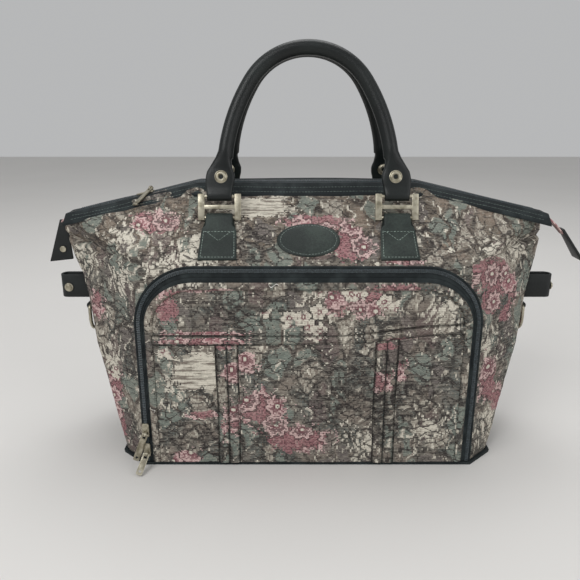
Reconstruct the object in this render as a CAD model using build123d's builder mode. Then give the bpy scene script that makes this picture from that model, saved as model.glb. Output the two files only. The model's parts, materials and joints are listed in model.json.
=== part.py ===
"""Carpet bag: a zip-top travel bag of tapestry cloth with leather handles on three-bar rings.

Frame: millimetres, X to the bag's right, front towards -Y, +Z up, origin at the middle of the base.
The cloth body is a form bounded by flat faces: a vertical front and back, two side faces that lean
outwards, four corner faces that turn each side into a point at its top, and a roof of sloping faces
up to a flat strip that carries the top zip.
"""

from build123d import *
import math
import os

os.makedirs("parts", exist_ok=True)

# ---- cloth body
base_half_length = 204.0
half_depth = 95.0
side_spread = 0.27
front_seam_base = 178.0
front_seam_top = 165.0
shoulder_height = 224.0
side_point_height = 238.0
ridge_height = 296.0
ridge_half_width = 13.0
ridge_flat_half_length = 120.0
ridge_end_height = 262.0
cloth_thickness = 3.0
board_thickness = 2.5
board_margin = 6.0
piping_radius = 1.6
side_point_half = base_half_length + side_spread * side_point_height

# ---- top zip
zip_opening_half = 25.0
tape_thickness = 1.5
coil_width = 3.4
coil_height = 2.2
coil_gap_half = 0.8
mouth_half_width = 6.0
mouth_start = -194.0
mouth_end = -258.0
mouth_tape_end = mouth_start + 6.0
zip_stop = 255.0
slider_place = -180.0
slider_length = 21.0
slider_half_width = 4.8
slider_plate = 1.5
slider_clearance = 0.3

# ---- ring hardware and handles
ring_centre = 92.5
ring_inner_half = 15.5
ring_bar_width = 7.0
ring_thickness = 3.4
ring_pitch = 22.0
ring_end_margin = 2.7
ring_crossbar = 4.4
pin_radius = 1.8
fold_clearance = 0.3
leather = 2.4
neck_half_width = 13.5
ring_seat = 59.2
handle_lean = 13.8
handle_radius = 7.3
grip_half_span = 88.0
grip_side_radius = 190.0
grip_rise = 133.0
grip_start = 25.0
rivet_height = 20.0
rivet_cap_radius = 6.7
rivet_shank_radius = 2.0
rivet_cap_height = 1.6
leaf_thickness = 6.0
shoulder_radius = 15.2
fold_radius = pin_radius + fold_clearance + leather + 0.2

# ---- leather tabs and patch
tab_foot = 8.0
tab_shoulder = 46.0
tab_foot_half = 19.7
tab_shoulder_half = 18.0
patch_length = 65.0
patch_width = 42.0
patch_middle = 33.0
patch_thickness = 1.8

# ---- front pocket
pocket_half_width = 179.5
pocket_top = 225.0
pocket_corner = 63.0
pocket_foot = 4.0
outer_tape_width = 2.5
pocket_coil_width = 4.0
pocket_coil_height = 3.0
pocket_tape_thickness = 1.2
inner_tape_side = 4.0
inner_tape_top = 10.0
welt_width = 8.5
welt_thickness = 4.0
pocket_cloth = 2.5
slip_cloth = 2.0
hem_height = 152.0
hem_depth = 11.0
strip_left = -84.5
strip_right = 81.5
strip_width = 23.0
strip_thickness = 1.0
pocket_slider_length = 16.0
upper_slider_height = 43.0
lower_slider_height = 19.0

# ---- pulls
pull_axle_radius = 0.9
pull_length_top = 32.0
pull_length_pocket = 34.0
pull_length_lower = 24.0
pull_half_width = 3.4
pull_thickness = 1.4
lug_radius = 2.6
lug_hole_radius = 1.25
lug_half_thickness = 1.0

# ---- side hardware
loop_low = 165.0
loop_height = 27.0
loop_reach = 285.0
loop_half_width = 8.0
loop_leather = 2.4
stud_radius = 5.0
stud_height = 2.6
chape_foot = 114.0
chape_bar_height = 157.0
chape_half_width = 12.5
d_wire_radius = 2.0
d_half_width = 15.5
d_drop = 30.0
zip_end_thickness = 3.6
tail_thickness = 3.0
snap_radius = 3.6
snap_height = 1.6


# ---------------------------------------------------------------- the body's form
heart = Vector(0, 0, 120)


def face_through(a, b, c, inset):
    """Plane through three points, facing away from the bag's heart, moved inwards by inset."""
    a, b, c = Vector(*a), Vector(*b), Vector(*c)
    normal = (b - a).cross(c - a).normalized()
    if normal.dot(a - heart) < 0:
        normal = normal * -1
    return Plane(origin=a - normal * inset, z_dir=normal)


def wall_faces(inset):
    """The base, front, back, side and corner faces."""
    faces = [Plane(origin=(0, 0, inset), z_dir=(0, 0, -1))]
    for y in (-1, 1):
        faces.append(Plane(origin=(0, y * (half_depth - inset), 0), z_dir=(0, y, 0)))
    for x in (-1, 1):
        foot = (x * base_half_length, 0, 0)
        top = (x * side_point_half, 0, side_point_height)
        faces.append(face_through(foot, top, (foot[0], 50, 0), inset))
        for y in (-1, 1):
            seam_foot = (x * front_seam_base, y * half_depth, 0)
            seam_top = (x * front_seam_top, y * half_depth, shoulder_height)
            faces.append(face_through(seam_foot, seam_top, top, inset))
    return faces


def roof_faces(inset):
    """The sloping faces up to the zip, and the strip that the zip lies on."""
    faces = [Plane(origin=(0, 0, ridge_height - inset), z_dir=(0, 0, 1))]
    for y in (-1, 1):
        edge = (0, y * half_depth, shoulder_height)
        ridge = (0, y * ridge_half_width, ridge_height)
        faces.append(face_through(edge, ridge, (50, ridge[1], ridge_height), inset))
    for x in (-1, 1):
        bend = (x * ridge_flat_half_length, 0, ridge_height)
        tip = (x * side_point_half, 0, ridge_end_height)
        faces.append(face_through(bend, tip, (tip[0], 9, tip[2]), inset))
        for y in (-1, 1):
            seam_top = (x * front_seam_top, y * half_depth, shoulder_height)
            bend = (x * ridge_flat_half_length, y * ridge_half_width, ridge_height)
            tip = (x * side_point_half, y * ridge_half_width, ridge_end_height)
            faces.append(face_through(seam_top, bend, tip, inset))
    return faces


def form(walls, roof):
    """The body's form with its walls moved in by walls and its roof by roof."""
    with BuildPart(mode=Mode.PRIVATE) as block:
        Box(700, 300, 800)
        for face in wall_faces(walls) + roof_faces(roof):
            split(bisect_by=face, keep=Keep.BOTTOM)
    return block.part


def roof_layer(low, high):
    """The sheet between two heights above the roof faces."""
    with BuildPart(mode=Mode.PRIVATE) as layer:
        add(form(0, -high))
        add(form(-6, -low), mode=Mode.SUBTRACT)
    return layer.part


def ridge_z(x):
    """Height of the zip strip at a place along the bag."""
    beyond = max(0.0, abs(x) - ridge_flat_half_length)
    fall = (ridge_height - ridge_end_height) / (side_point_half - ridge_flat_half_length)
    return ridge_height - beyond * fall


# The zip's inner edges in plan: a narrow slit where it is closed, an open mouth at the left end.
def mouth_edge(side, offset):
    """Points of one side of the slit, moved outwards by offset, from the left end to the right."""
    middle = (mouth_start + mouth_end) / 2
    quarter = (mouth_start - mouth_end) / 3.2
    wide = coil_gap_half + (mouth_half_width - coil_gap_half) * 0.75
    outline = [
        (-300, coil_gap_half),
        (mouth_end, coil_gap_half),
        (middle - quarter, wide),
        (middle, mouth_half_width),
        (middle + quarter, wide),
        (mouth_start, coil_gap_half),
        (300, coil_gap_half),
    ]
    return [(x, side * (y + offset)) for x, y in outline]


def plan_region(side, near, far_line):
    """A tall block between one side of the slit and a far line, seen in plan."""
    with BuildPart(mode=Mode.PRIVATE) as region:
        with BuildSketch(Plane.XY.offset(200)):
            with BuildLine():
                Polyline(*(mouth_edge(side, near) + far_line[::-1]), close=True)
            make_face()
        extrude(amount=120)
    return region.part


# ---------------------------------------------------------------- panels
with BuildPart() as zip_slot:
    add(form(cloth_thickness, -1))
    Box(700, 2 * zip_opening_half, 900, mode=Mode.INTERSECT)

with BuildPart() as tape_seat:
    add(roof_layer(-tape_thickness, 1))
    Box(700, 2 * zip_opening_half, 900, mode=Mode.INTERSECT)

with BuildPart() as shell:
    add(form(0, 0))
    add(form(cloth_thickness, cloth_thickness), mode=Mode.SUBTRACT)
    add(zip_slot.part, mode=Mode.SUBTRACT)
    add(tape_seat.part, mode=Mode.SUBTRACT)

with BuildPart() as base_panel:
    add(form(0, 0))
    split(bisect_by=Plane.XY.offset(cloth_thickness), keep=Keep.BOTTOM)
base_panel.part.label = "base_panel"
export_step(base_panel.part, "parts/base_panel.step")

gusset_blocks = {}
for side, side_name in ((-1, "left"), (1, "right")):
    seam_foot = (side * front_seam_base, -half_depth, 0)
    seam_top = (side * front_seam_top, -half_depth, shoulder_height)
    seam_back = (side * front_seam_top, half_depth, shoulder_height)
    point = (side * side_point_half, 0, side_point_height)
    with BuildPart() as gusset_block:
        Box(900, 400, 600)
        split(bisect_by=face_through(seam_foot, seam_top, seam_back, 0), keep=Keep.TOP)
        split(bisect_by=face_through(seam_top, seam_back, point, 0), keep=Keep.BOTTOM)
        split(bisect_by=Plane.XY.offset(cloth_thickness), keep=Keep.TOP)
    gusset_blocks[side] = gusset_block.part
    with BuildPart() as gusset:
        add(shell.part)
        add(gusset_block.part, mode=Mode.INTERSECT)
    gusset.part.label = side_name + "_gusset"
    export_step(gusset.part, "parts/" + side_name + "_gusset.step")

for face, face_name in ((-1, "front"), (1, "back")):
    with BuildPart() as panel:
        add(shell.part)
        split(bisect_by=Plane.XY.offset(cloth_thickness), keep=Keep.TOP)
        split(bisect_by=Plane(origin=(0, 0, 0), z_dir=(0, face, 0)), keep=Keep.TOP)
        for block in gusset_blocks.values():
            add(block, mode=Mode.SUBTRACT)
    panel.part.label = face_name + "_panel"
    export_step(panel.part, "parts/" + face_name + "_panel.step")

with BuildPart() as base_board:
    add(form(cloth_thickness + board_margin, 0))
    split(bisect_by=Plane.XY.offset(cloth_thickness + board_margin + board_thickness), keep=Keep.BOTTOM)
base_board_part = Pos(0, 0, -board_margin) * base_board.part
base_board_part.label = "base_board"
export_step(base_board_part, "parts/base_board.step")

with BuildPart() as base_piping:
    add(form(-2 * piping_radius, 0))
    split(bisect_by=Plane.XY, keep=Keep.TOP)
    split(bisect_by=Plane.XY.offset(2 * piping_radius), keep=Keep.BOTTOM)
    add(form(0, 0), mode=Mode.SUBTRACT)
base_piping.part.label = "base_piping"
export_step(base_piping.part, "parts/base_piping.step")


# ---------------------------------------------------------------- top zip
# Each tape is two nodes, so that the stretch along the open mouth has a simple shape of its own.
for face, face_name in ((-1, "front"), (1, "back")):
    edge_line = [(-300, face * zip_opening_half), (300, face * zip_opening_half)]
    with BuildPart() as tape:
        add(roof_layer(-tape_thickness, 0))
        add(plan_region(face, 0, edge_line), mode=Mode.INTERSECT)
    for keep, stretch in ((Keep.TOP, "top_zip_"), (Keep.BOTTOM, "open_mouth_")):
        with BuildPart() as tape_stretch:
            add(tape.part)
            split(bisect_by=Plane(origin=(mouth_tape_end, 0, 0), z_dir=(1, 0, 0)), keep=keep)
        tape_stretch.part.label = stretch + face_name + "_tape"
        export_step(tape_stretch.part, "parts/" + stretch + face_name + "_tape.step")
    with BuildPart() as coil:
        add(roof_layer(0, coil_height))
        add(plan_region(face, 0, mouth_edge(face, coil_width)), mode=Mode.INTERSECT)
        Box(2 * zip_stop, 60, 700, mode=Mode.INTERSECT)
    coil.part.label = "top_zip_" + face_name + "_coil"
    export_step(coil.part, "parts/top_zip_" + face_name + "_coil.step")

zip_fall = math.degrees(math.atan2(ridge_z(200) - ridge_z(201), 1))


def zip_frame(x):
    """Frame on the left sloping stretch: x along the zip, y to the back, z off the cloth."""
    turn = math.radians(zip_fall)
    along = (math.cos(turn), 0, math.sin(turn))
    off = (-math.sin(turn), 0, math.cos(turn))
    return Plane(origin=(x, 0, ridge_z(x)), x_dir=along, z_dir=off)


def place_on(frame, point):
    """A point given in a frame's own coordinates."""
    return frame.from_local_coords(Vector(*point))


def pull_frame(hinge, direction, off):
    """Frame of a pull: y runs down the blade, x along its axle."""
    down = Vector(*direction).normalized()
    axle = down.cross(Vector(*off)).normalized()
    return Plane(origin=hinge, x_dir=axle, z_dir=axle.cross(down))


def slider_lug(frame, foot):
    """The upright eye that a pull's axle turns in, in the pull's frame, reaching down to foot."""
    with BuildPart(mode=Mode.PRIVATE) as lug:
        with BuildSketch(Plane(origin=frame.origin, x_dir=frame.y_dir, z_dir=frame.x_dir)):
            Circle(lug_radius)
        extrude(amount=lug_half_thickness, both=True)
        reach = Vector(*foot) - frame.origin
        lean = Plane(origin=frame.origin, x_dir=frame.x_dir, z_dir=reach.normalized())
        with BuildSketch(lean):
            Rectangle(2 * lug_half_thickness, 2 * lug_radius * 0.9)
        extrude(amount=reach.length)
        with BuildSketch(Plane(origin=frame.origin, x_dir=frame.y_dir, z_dir=frame.x_dir)):
            Circle(lug_hole_radius)
        extrude(amount=3 * lug_half_thickness, both=True, mode=Mode.SUBTRACT)
    return lug.part


def zip_pull(frame, length):
    """A flat blade with a small eye at its tip, forked round its axle."""
    arm_in = lug_half_thickness + 0.8
    with BuildPart(mode=Mode.PRIVATE) as pull:
        with BuildSketch(frame):
            with Locations((0, length / 2 + 2)):
                RectangleRounded(2 * pull_half_width, length - 4, 1.6)
            with Locations((0, 0)):
                Rectangle(2 * pull_half_width, 12, align=(Align.CENTER, Align.MIN))
            with Locations((0, 0)):
                Rectangle(2 * arm_in, 5.5, align=(Align.CENTER, Align.MIN), mode=Mode.SUBTRACT)
            with Locations((0, length - 4)):
                Circle(1.5, mode=Mode.SUBTRACT)
        extrude(amount=pull_thickness / 2, both=True)
        with BuildSketch(Plane(origin=frame.origin, x_dir=frame.y_dir, z_dir=frame.x_dir)):
            Circle(pull_axle_radius)
        extrude(amount=pull_half_width, both=True)
    return pull.part


top_slider_frame = zip_frame(slider_place)
top_hinge = place_on(top_slider_frame, (slider_length / 2 - 2.5, -3.0, 6.9))
top_pull_down = top_slider_frame.x_dir * -0.52 + Vector(0, -0.77, 0) + top_slider_frame.z_dir * -0.36
top_pull_frame = pull_frame(top_hinge, top_pull_down, top_slider_frame.z_dir)
plate_low = coil_height + slider_clearance
under_high = -tape_thickness - slider_clearance
with BuildPart() as top_zip_slider:
    with BuildSketch(top_slider_frame.offset(plate_low)):
        SlotOverall(slider_length, 2 * slider_half_width)
    extrude(amount=slider_plate)
    with BuildSketch(top_slider_frame.offset(under_high - 1.2)):
        SlotOverall(slider_length - 2, 2 * slider_half_width)
    extrude(amount=1.2)
    with BuildSketch(top_slider_frame.offset(under_high - 0.6)):
        Rectangle(9, 2 * (coil_gap_half - slider_clearance))
    extrude(amount=plate_low - under_high + 1.2)
    add(slider_lug(top_pull_frame, place_on(top_slider_frame, (slider_length / 2 - 3.5, -2.2, 3.2))))
top_zip_slider.part.label = "top_zip_slider"
export_step(top_zip_slider.part, "parts/top_zip_slider.step")

top_zip_pull = zip_pull(top_pull_frame, pull_length_top)
top_zip_pull.label = "top_zip_pull"
export_step(top_zip_pull, "parts/top_zip_pull.step")

# Cloth-wrapped zip ends: they lie over the ends of the tapes and droop past the side points.
for side, side_name in ((-1, "left"), (1, "right")):
    droop = 22.0 if side > 0 else 8.0
    start = zip_stop + 1
    tip = side_point_half
    fall = ridge_z(tip) - ridge_z(tip + 1)
    with BuildPart() as zip_end:
        with BuildSketch(Plane.XZ.offset(-11)):
            with BuildLine():
                Polyline(
                    (side * start, ridge_z(start)),
                    (side * start, ridge_z(start) + zip_end_thickness),
                    (side * (tip + 1), ridge_z(tip) + zip_end_thickness - fall),
                    (side * (tip + droop), ridge_z(tip) + 4 - 0.85 * droop),
                    (side * (tip + droop - 2), ridge_z(tip) - 0.85 * droop),
                    (side * (tip + 0.5), ridge_z(tip) - 0.5),
                    (side * tip, ridge_z(tip)),
                    close=True,
                )
            make_face()
        extrude(amount=22)
    zip_end.part.label = side_name + "_zip_end"
    export_step(zip_end.part, "parts/" + side_name + "_zip_end.step")

# Leather tabs on the zip ends: the left one faces the front, the right one faces outwards.
left_tail_frame = Plane(origin=(-side_point_half - 6, 0, 255), x_dir=(1, 0, 0), z_dir=(0, -1, 0))
right_tail_frame = Plane(
    origin=(side_point_half + 21.6, 0, ridge_end_height - 17.6),
    x_dir=(0, 1, 0),
    z_dir=(-0.824, 0, -0.566),
)
left_tail_outline = [(-5.5, 0), (2, 0), (5, -46), (-22, -49)]
right_tail_outline = [(-6, 0), (6, 0), (12.5, 42), (-12.5, 42)]
left_snap_frame = left_tail_frame.offset(tail_thickness / 2)
right_snap_frame = right_tail_frame.offset(-tail_thickness / 2 - snap_height)
tails = [
    ("left", left_tail_frame, left_tail_outline, left_snap_frame, (-5, -34)),
    ("right", right_tail_frame, right_tail_outline, right_snap_frame, (0, 31)),
]
for side_name, frame, outline, snap_frame, snap_place in tails:
    with BuildPart() as tail_tab:
        with BuildSketch(frame):
            with BuildLine():
                Polyline(*outline, close=True)
            make_face()
        extrude(amount=tail_thickness / 2, both=True)
    tail_tab.part.label = side_name + "_tail_tab"
    export_step(tail_tab.part, "parts/" + side_name + "_tail_tab.step")
    with BuildPart() as tail_snap:
        with BuildSketch(snap_frame):
            with Locations(snap_place):
                Circle(snap_radius)
        extrude(amount=snap_height)
    tail_snap.part.label = side_name + "_tail_snap"
    export_step(tail_snap.part, "parts/" + side_name + "_tail_snap.step")


# ---------------------------------------------------------------- ring hardware and handles
slope_run = half_depth - ridge_half_width
slope_rise = ridge_height - shoulder_height
slope_length = math.hypot(slope_run, slope_rise)
slope_in = slope_run / slope_length
slope_up = slope_rise / slope_length
lean_in = math.sin(math.radians(handle_lean))
lean_up = math.cos(math.radians(handle_lean))


def slope_frame(face):
    """Frame on a sloping roof face: origin at its lower edge, y up the slope, z off the cloth."""
    return Plane(
        origin=(0, face * half_depth, shoulder_height),
        x_dir=(-face, 0, 0),
        z_dir=(0, face * slope_up, slope_in),
    )


def hanging_frame(face):
    """Frame of a pair of rings and their handle: origin on the upper bars, y up the handle."""
    lower = slope_frame(face).from_local_coords(Vector(0, ring_seat, fold_radius))
    upper = lower + Vector(0, -face * lean_in, lean_up) * ring_pitch
    return Plane(origin=upper, x_dir=(1, 0, 0), z_dir=(0, -lean_up, -face * lean_in))


def bar_fold(frame, across, along, lift, half_width):
    """A leather fold round a bar along the frame's x, with the bar's bore still solid."""
    with BuildPart(mode=Mode.PRIVATE) as fold:
        middle = frame.from_local_coords(Vector(across, along, lift))
        with BuildSketch(Plane(origin=middle, x_dir=frame.y_dir, z_dir=frame.x_dir)):
            Circle(fold_radius)
        extrude(amount=half_width, both=True)
    return fold.part


def bar_bore(frame, across, along, lift, half_width, radius):
    """The bore of such a fold."""
    with BuildPart(mode=Mode.PRIVATE) as bore:
        middle = frame.from_local_coords(Vector(across, along, lift))
        with BuildSketch(Plane(origin=middle, x_dir=frame.y_dir, z_dir=frame.x_dir)):
            Circle(radius)
        extrude(amount=half_width + 5, both=True)
    return bore.part


for face, face_name in ((-1, "front"), (1, "back")):
    slope = slope_frame(face)
    hang = hanging_frame(face)
    for side, side_name in ((-1, "left"), (1, "right")):
        across = -face * side * ring_centre
        with BuildPart() as strap_tab:
            with BuildSketch(slope):
                outline = [
                    (tab_foot_half, tab_foot),
                    (tab_shoulder_half, tab_shoulder),
                    (neck_half_width, tab_shoulder + 3),
                    (neck_half_width, ring_seat),
                ]
                right_edge = [(across + x, y) for x, y in outline]
                left_edge = [(across - x, y) for x, y in outline[::-1]]
                with BuildLine():
                    Polyline(*(right_edge + left_edge), close=True)
                make_face()
            extrude(amount=leather)
            add(bar_fold(slope, across, ring_seat, fold_radius, neck_half_width))
            bore_radius = pin_radius + fold_clearance
            bore = bar_bore(slope, across, ring_seat, fold_radius, neck_half_width, bore_radius)
            add(bore, mode=Mode.SUBTRACT)
        tab_name = face_name + "_" + side_name + "_tab"
        strap_tab.part.label = tab_name
        export_step(strap_tab.part, "parts/" + tab_name + ".step")

        with BuildPart() as ring:
            bar_middle = ring_inner_half + ring_bar_width / 2
            ring_height = ring_pitch + 2 * ring_end_margin
            with BuildSketch(hang):
                with Locations((side * ring_centre, -ring_pitch / 2)):
                    Rectangle(2 * ring_inner_half + 1, ring_crossbar)
                for end in (-1, 1):
                    with Locations((side * ring_centre + end * bar_middle, -ring_pitch / 2)):
                        RectangleRounded(ring_bar_width, ring_height, 0.8)
            extrude(amount=ring_thickness / 2, both=True)
            for level in (0, -ring_pitch):
                middle = hang.from_local_coords(Vector(side * ring_centre, level, 0))
                with BuildSketch(Plane(origin=middle, x_dir=hang.y_dir, z_dir=hang.x_dir)):
                    Circle(pin_radius - 0.15)
                extrude(amount=ring_inner_half + 1, both=True)
        ring_name = face_name + "_" + side_name + "_ring"
        ring.part.label = ring_name
        export_step(ring.part, "parts/" + ring_name + ".step")

    # The grip's arch: two wide side arcs and a tighter top arc, all tangent.
    top_radius = (
        2 * grip_half_span * grip_side_radius - grip_half_span**2 - grip_rise**2
    ) / (2 * (grip_side_radius - grip_rise))
    side_offset = grip_side_radius - grip_half_span
    top_offset = grip_rise - top_radius
    join = math.degrees(math.atan2(top_offset, side_offset))
    start = math.degrees(math.asin(grip_start / grip_side_radius))
    with BuildPart() as handle:
        with BuildLine(hang) as arch:
            CenterArc((-side_offset, rivet_height), grip_side_radius, start, join - start)
            CenterArc((0, rivet_height + top_offset), top_radius, join, 180 - 2 * join)
            CenterArc((side_offset, rivet_height), grip_side_radius, 180 - join, join - start)
        path = arch.wire()
        with BuildSketch(Plane(origin=path @ 0, z_dir=path % 0)):
            Circle(handle_radius)
        sweep(path=path)
        for side, place in ((1, path @ 0), (-1, path @ 1)):
            heading = path % 0 if side > 0 else (path % 1) * -1
            with BuildSketch(Plane(origin=place, x_dir=hang.z_dir, z_dir=heading * -1)):
                Circle(handle_radius)
            leaf_top = hang.from_local_coords(Vector(side * (grip_half_span + 1.5), rivet_height + 8, 0))
            with BuildSketch(Plane(origin=leaf_top, x_dir=hang.z_dir, z_dir=hang.y_dir * -1)):
                RectangleRounded(leaf_thickness + 1.5, 2 * neck_half_width - 2, 3.0)
            loft()
            leaf_middle = grip_half_span + 2.5
            with BuildSketch(hang):
                with Locations((side * leaf_middle, rivet_height - 2)):
                    Circle(shoulder_radius)
                with Locations((side * ring_centre, (rivet_height - 2) / 2)):
                    Rectangle(2 * neck_half_width, rivet_height - 2)
            extrude(amount=leaf_thickness / 2, both=True)
            add(bar_fold(hang, side * ring_centre, 0, 0, neck_half_width))
            bore_radius = pin_radius + fold_clearance
            bore = bar_bore(hang, side * ring_centre, 0, 0, neck_half_width, bore_radius)
            add(bore, mode=Mode.SUBTRACT)
            with BuildSketch(hang):
                with Locations((side * leaf_middle, rivet_height)):
                    Circle(rivet_shank_radius)
            extrude(amount=20, both=True, mode=Mode.SUBTRACT)
            with BuildSketch(hang.offset(leaf_thickness / 2)):
                with Locations((side * leaf_middle, rivet_height)):
                    Circle(rivet_cap_radius + 0.2)
            extrude(amount=8, mode=Mode.SUBTRACT)
            with BuildSketch(hang.offset(-leaf_thickness / 2)):
                with Locations((side * leaf_middle, rivet_height)):
                    Circle(rivet_cap_radius + 0.2)
            extrude(amount=-8, mode=Mode.SUBTRACT)
    handle.part.label = face_name + "_handle"
    export_step(handle.part, "parts/" + face_name + "_handle.step")

    with BuildPart() as rivets:
        with BuildSketch(hang):
            with Locations((-leaf_middle, rivet_height), (leaf_middle, rivet_height)):
                Circle(rivet_shank_radius)
        extrude(amount=leaf_thickness / 2 + 0.2, both=True)
        for end in (-1, 1):
            with BuildSketch(hang.offset(end * leaf_thickness / 2)):
                with Locations((-leaf_middle, rivet_height), (leaf_middle, rivet_height)):
                    Circle(rivet_cap_radius)
            extrude(amount=end * rivet_cap_height)
    rivets.part.label = face_name + "_handle_rivets"
    export_step(rivets.part, "parts/" + face_name + "_handle_rivets.step")

with BuildPart() as oval_patch:
    with BuildSketch(slope_frame(-1)):
        with Locations((0, patch_middle)):
            Ellipse(patch_length / 2, patch_width / 2)
    extrude(amount=patch_thickness)
oval_patch.part.label = "oval_patch"
export_step(oval_patch.part, "parts/oval_patch.step")


# ---------------------------------------------------------------- front pocket
front_frame = Plane(origin=(0, -half_depth, 0), x_dir=(1, 0, 0), z_dir=(0, -1, 0))


def arched_outline(side_inset, top_inset):
    """Sketch of the pocket's outline, moved in at its sides and its top: rounded top corners."""
    half = pocket_half_width - side_inset
    top = pocket_top - top_inset
    radius = pocket_corner - max(side_inset, top_inset)
    with BuildSketch(mode=Mode.PRIVATE) as outline:
        with Locations((0, pocket_foot)):
            Rectangle(2 * half, top - pocket_foot, align=(Align.CENTER, Align.MIN))
        fillet(outline.vertices().group_by(Axis.Y)[-1], radius)
    return outline.sketch


def pocket_layer(name, outer, inner, low, high):
    """A band between two outlines, or a full panel, between two heights above the front panel."""
    with BuildPart() as layer:
        with BuildSketch(front_frame.offset(low)):
            add(arched_outline(*outer))
            if inner:
                add(arched_outline(*inner), mode=Mode.SUBTRACT)
        extrude(amount=high - low)
    layer.part.label = name
    export_step(layer.part, "parts/" + name + ".step")


coil_in = outer_tape_width + pocket_coil_width
tape_in = (coil_in + inner_tape_side, coil_in + inner_tape_top)
welt_in = (tape_in[0] + welt_width, tape_in[1] + welt_width)
pocket_layer("pocket_outer_tape", (0, 0), (outer_tape_width, outer_tape_width), 0, pocket_tape_thickness)
pocket_layer("pocket_coil", (outer_tape_width, outer_tape_width), (coil_in, coil_in), 0, pocket_coil_height)
pocket_layer("pocket_inner_tape", (coil_in, coil_in), tape_in, 0, pocket_tape_thickness)
pocket_layer("pocket_welt", tape_in, welt_in, 0, welt_thickness)
pocket_layer("pocket_panel", welt_in, None, 0, pocket_cloth)

slip_half = pocket_half_width - welt_in[0]
slip_top = hem_height + hem_depth / 2
with BuildPart() as slip_pocket:
    with BuildSketch(front_frame.offset(pocket_cloth)):
        with Locations((0, pocket_foot)):
            Rectangle(2 * slip_half, slip_top - hem_depth - pocket_foot, align=(Align.CENTER, Align.MIN))
    extrude(amount=slip_cloth)
slip_pocket.part.label = "slip_pocket"
export_step(slip_pocket.part, "parts/slip_pocket.step")

with BuildPart() as slip_pocket_hem:
    with BuildSketch(front_frame.offset(pocket_cloth)):
        with Locations((0, hem_height)):
            Rectangle(2 * slip_half, hem_depth)
    extrude(amount=slip_cloth + 0.6)
slip_pocket_hem.part.label = "slip_pocket_hem"
export_step(slip_pocket_hem.part, "parts/slip_pocket_hem.step")

strip_top = hem_height - hem_depth / 2
for side_name, middle in (("left", strip_left), ("right", strip_right)):
    with BuildPart() as strip:
        with BuildSketch(front_frame.offset(pocket_cloth + slip_cloth)):
            with Locations((middle, pocket_foot)):
                Rectangle(strip_width, strip_top - pocket_foot, align=(Align.CENTER, Align.MIN))
        extrude(amount=strip_thickness)
    strip.part.label = side_name + "_pocket_strip"
    export_step(strip.part, "parts/" + side_name + "_pocket_strip.step")

coil_middle = -(pocket_half_width - outer_tape_width - pocket_coil_width / 2)
flange_in = pocket_coil_width / 2 + slider_clearance
flange_out = flange_in + 1.3
slider_low = pocket_coil_height + slider_clearance
pocket_sliders = [
    ("upper", upper_slider_height, (-0.36, -0.93, 0.0), pull_length_pocket),
    ("lower", lower_slider_height, (-0.22, -0.56, 0.80), pull_length_lower),
]
pocket_pull_frames = {}
for level_name, height, direction, blade in pocket_sliders:
    hinge = front_frame.from_local_coords(Vector(coil_middle, height - 3, slider_low + 1.5 + 2.9))
    down = (direction[0], -direction[2], direction[1])
    frame = pull_frame(hinge, down, (0, -1, 0))
    pocket_pull_frames[level_name] = frame
    with BuildPart() as slider:
        with BuildSketch(front_frame.offset(slider_low)):
            with Locations((coil_middle, height)):
                RectangleRounded(2 * flange_out, pocket_slider_length, 2.0)
        extrude(amount=1.5)
        with BuildSketch(front_frame.offset(pocket_tape_thickness + slider_clearance)):
            for end in (-1, 1):
                with Locations((coil_middle + end * (flange_in + flange_out) / 2, height)):
                    Rectangle(flange_out - flange_in, pocket_slider_length - 5)
        extrude(amount=slider_low + 0.5 - pocket_tape_thickness - slider_clearance)
        foot = front_frame.from_local_coords(Vector(coil_middle, height - 2.5, slider_low + 0.7))
        add(slider_lug(frame, foot))
    slider.part.label = level_name + "_pocket_slider"
    export_step(slider.part, "parts/" + level_name + "_pocket_slider.step")
    pull = zip_pull(frame, blade)
    pull.label = level_name + "_pocket_pull"
    export_step(pull, "parts/" + level_name + "_pocket_pull.step")


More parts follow.
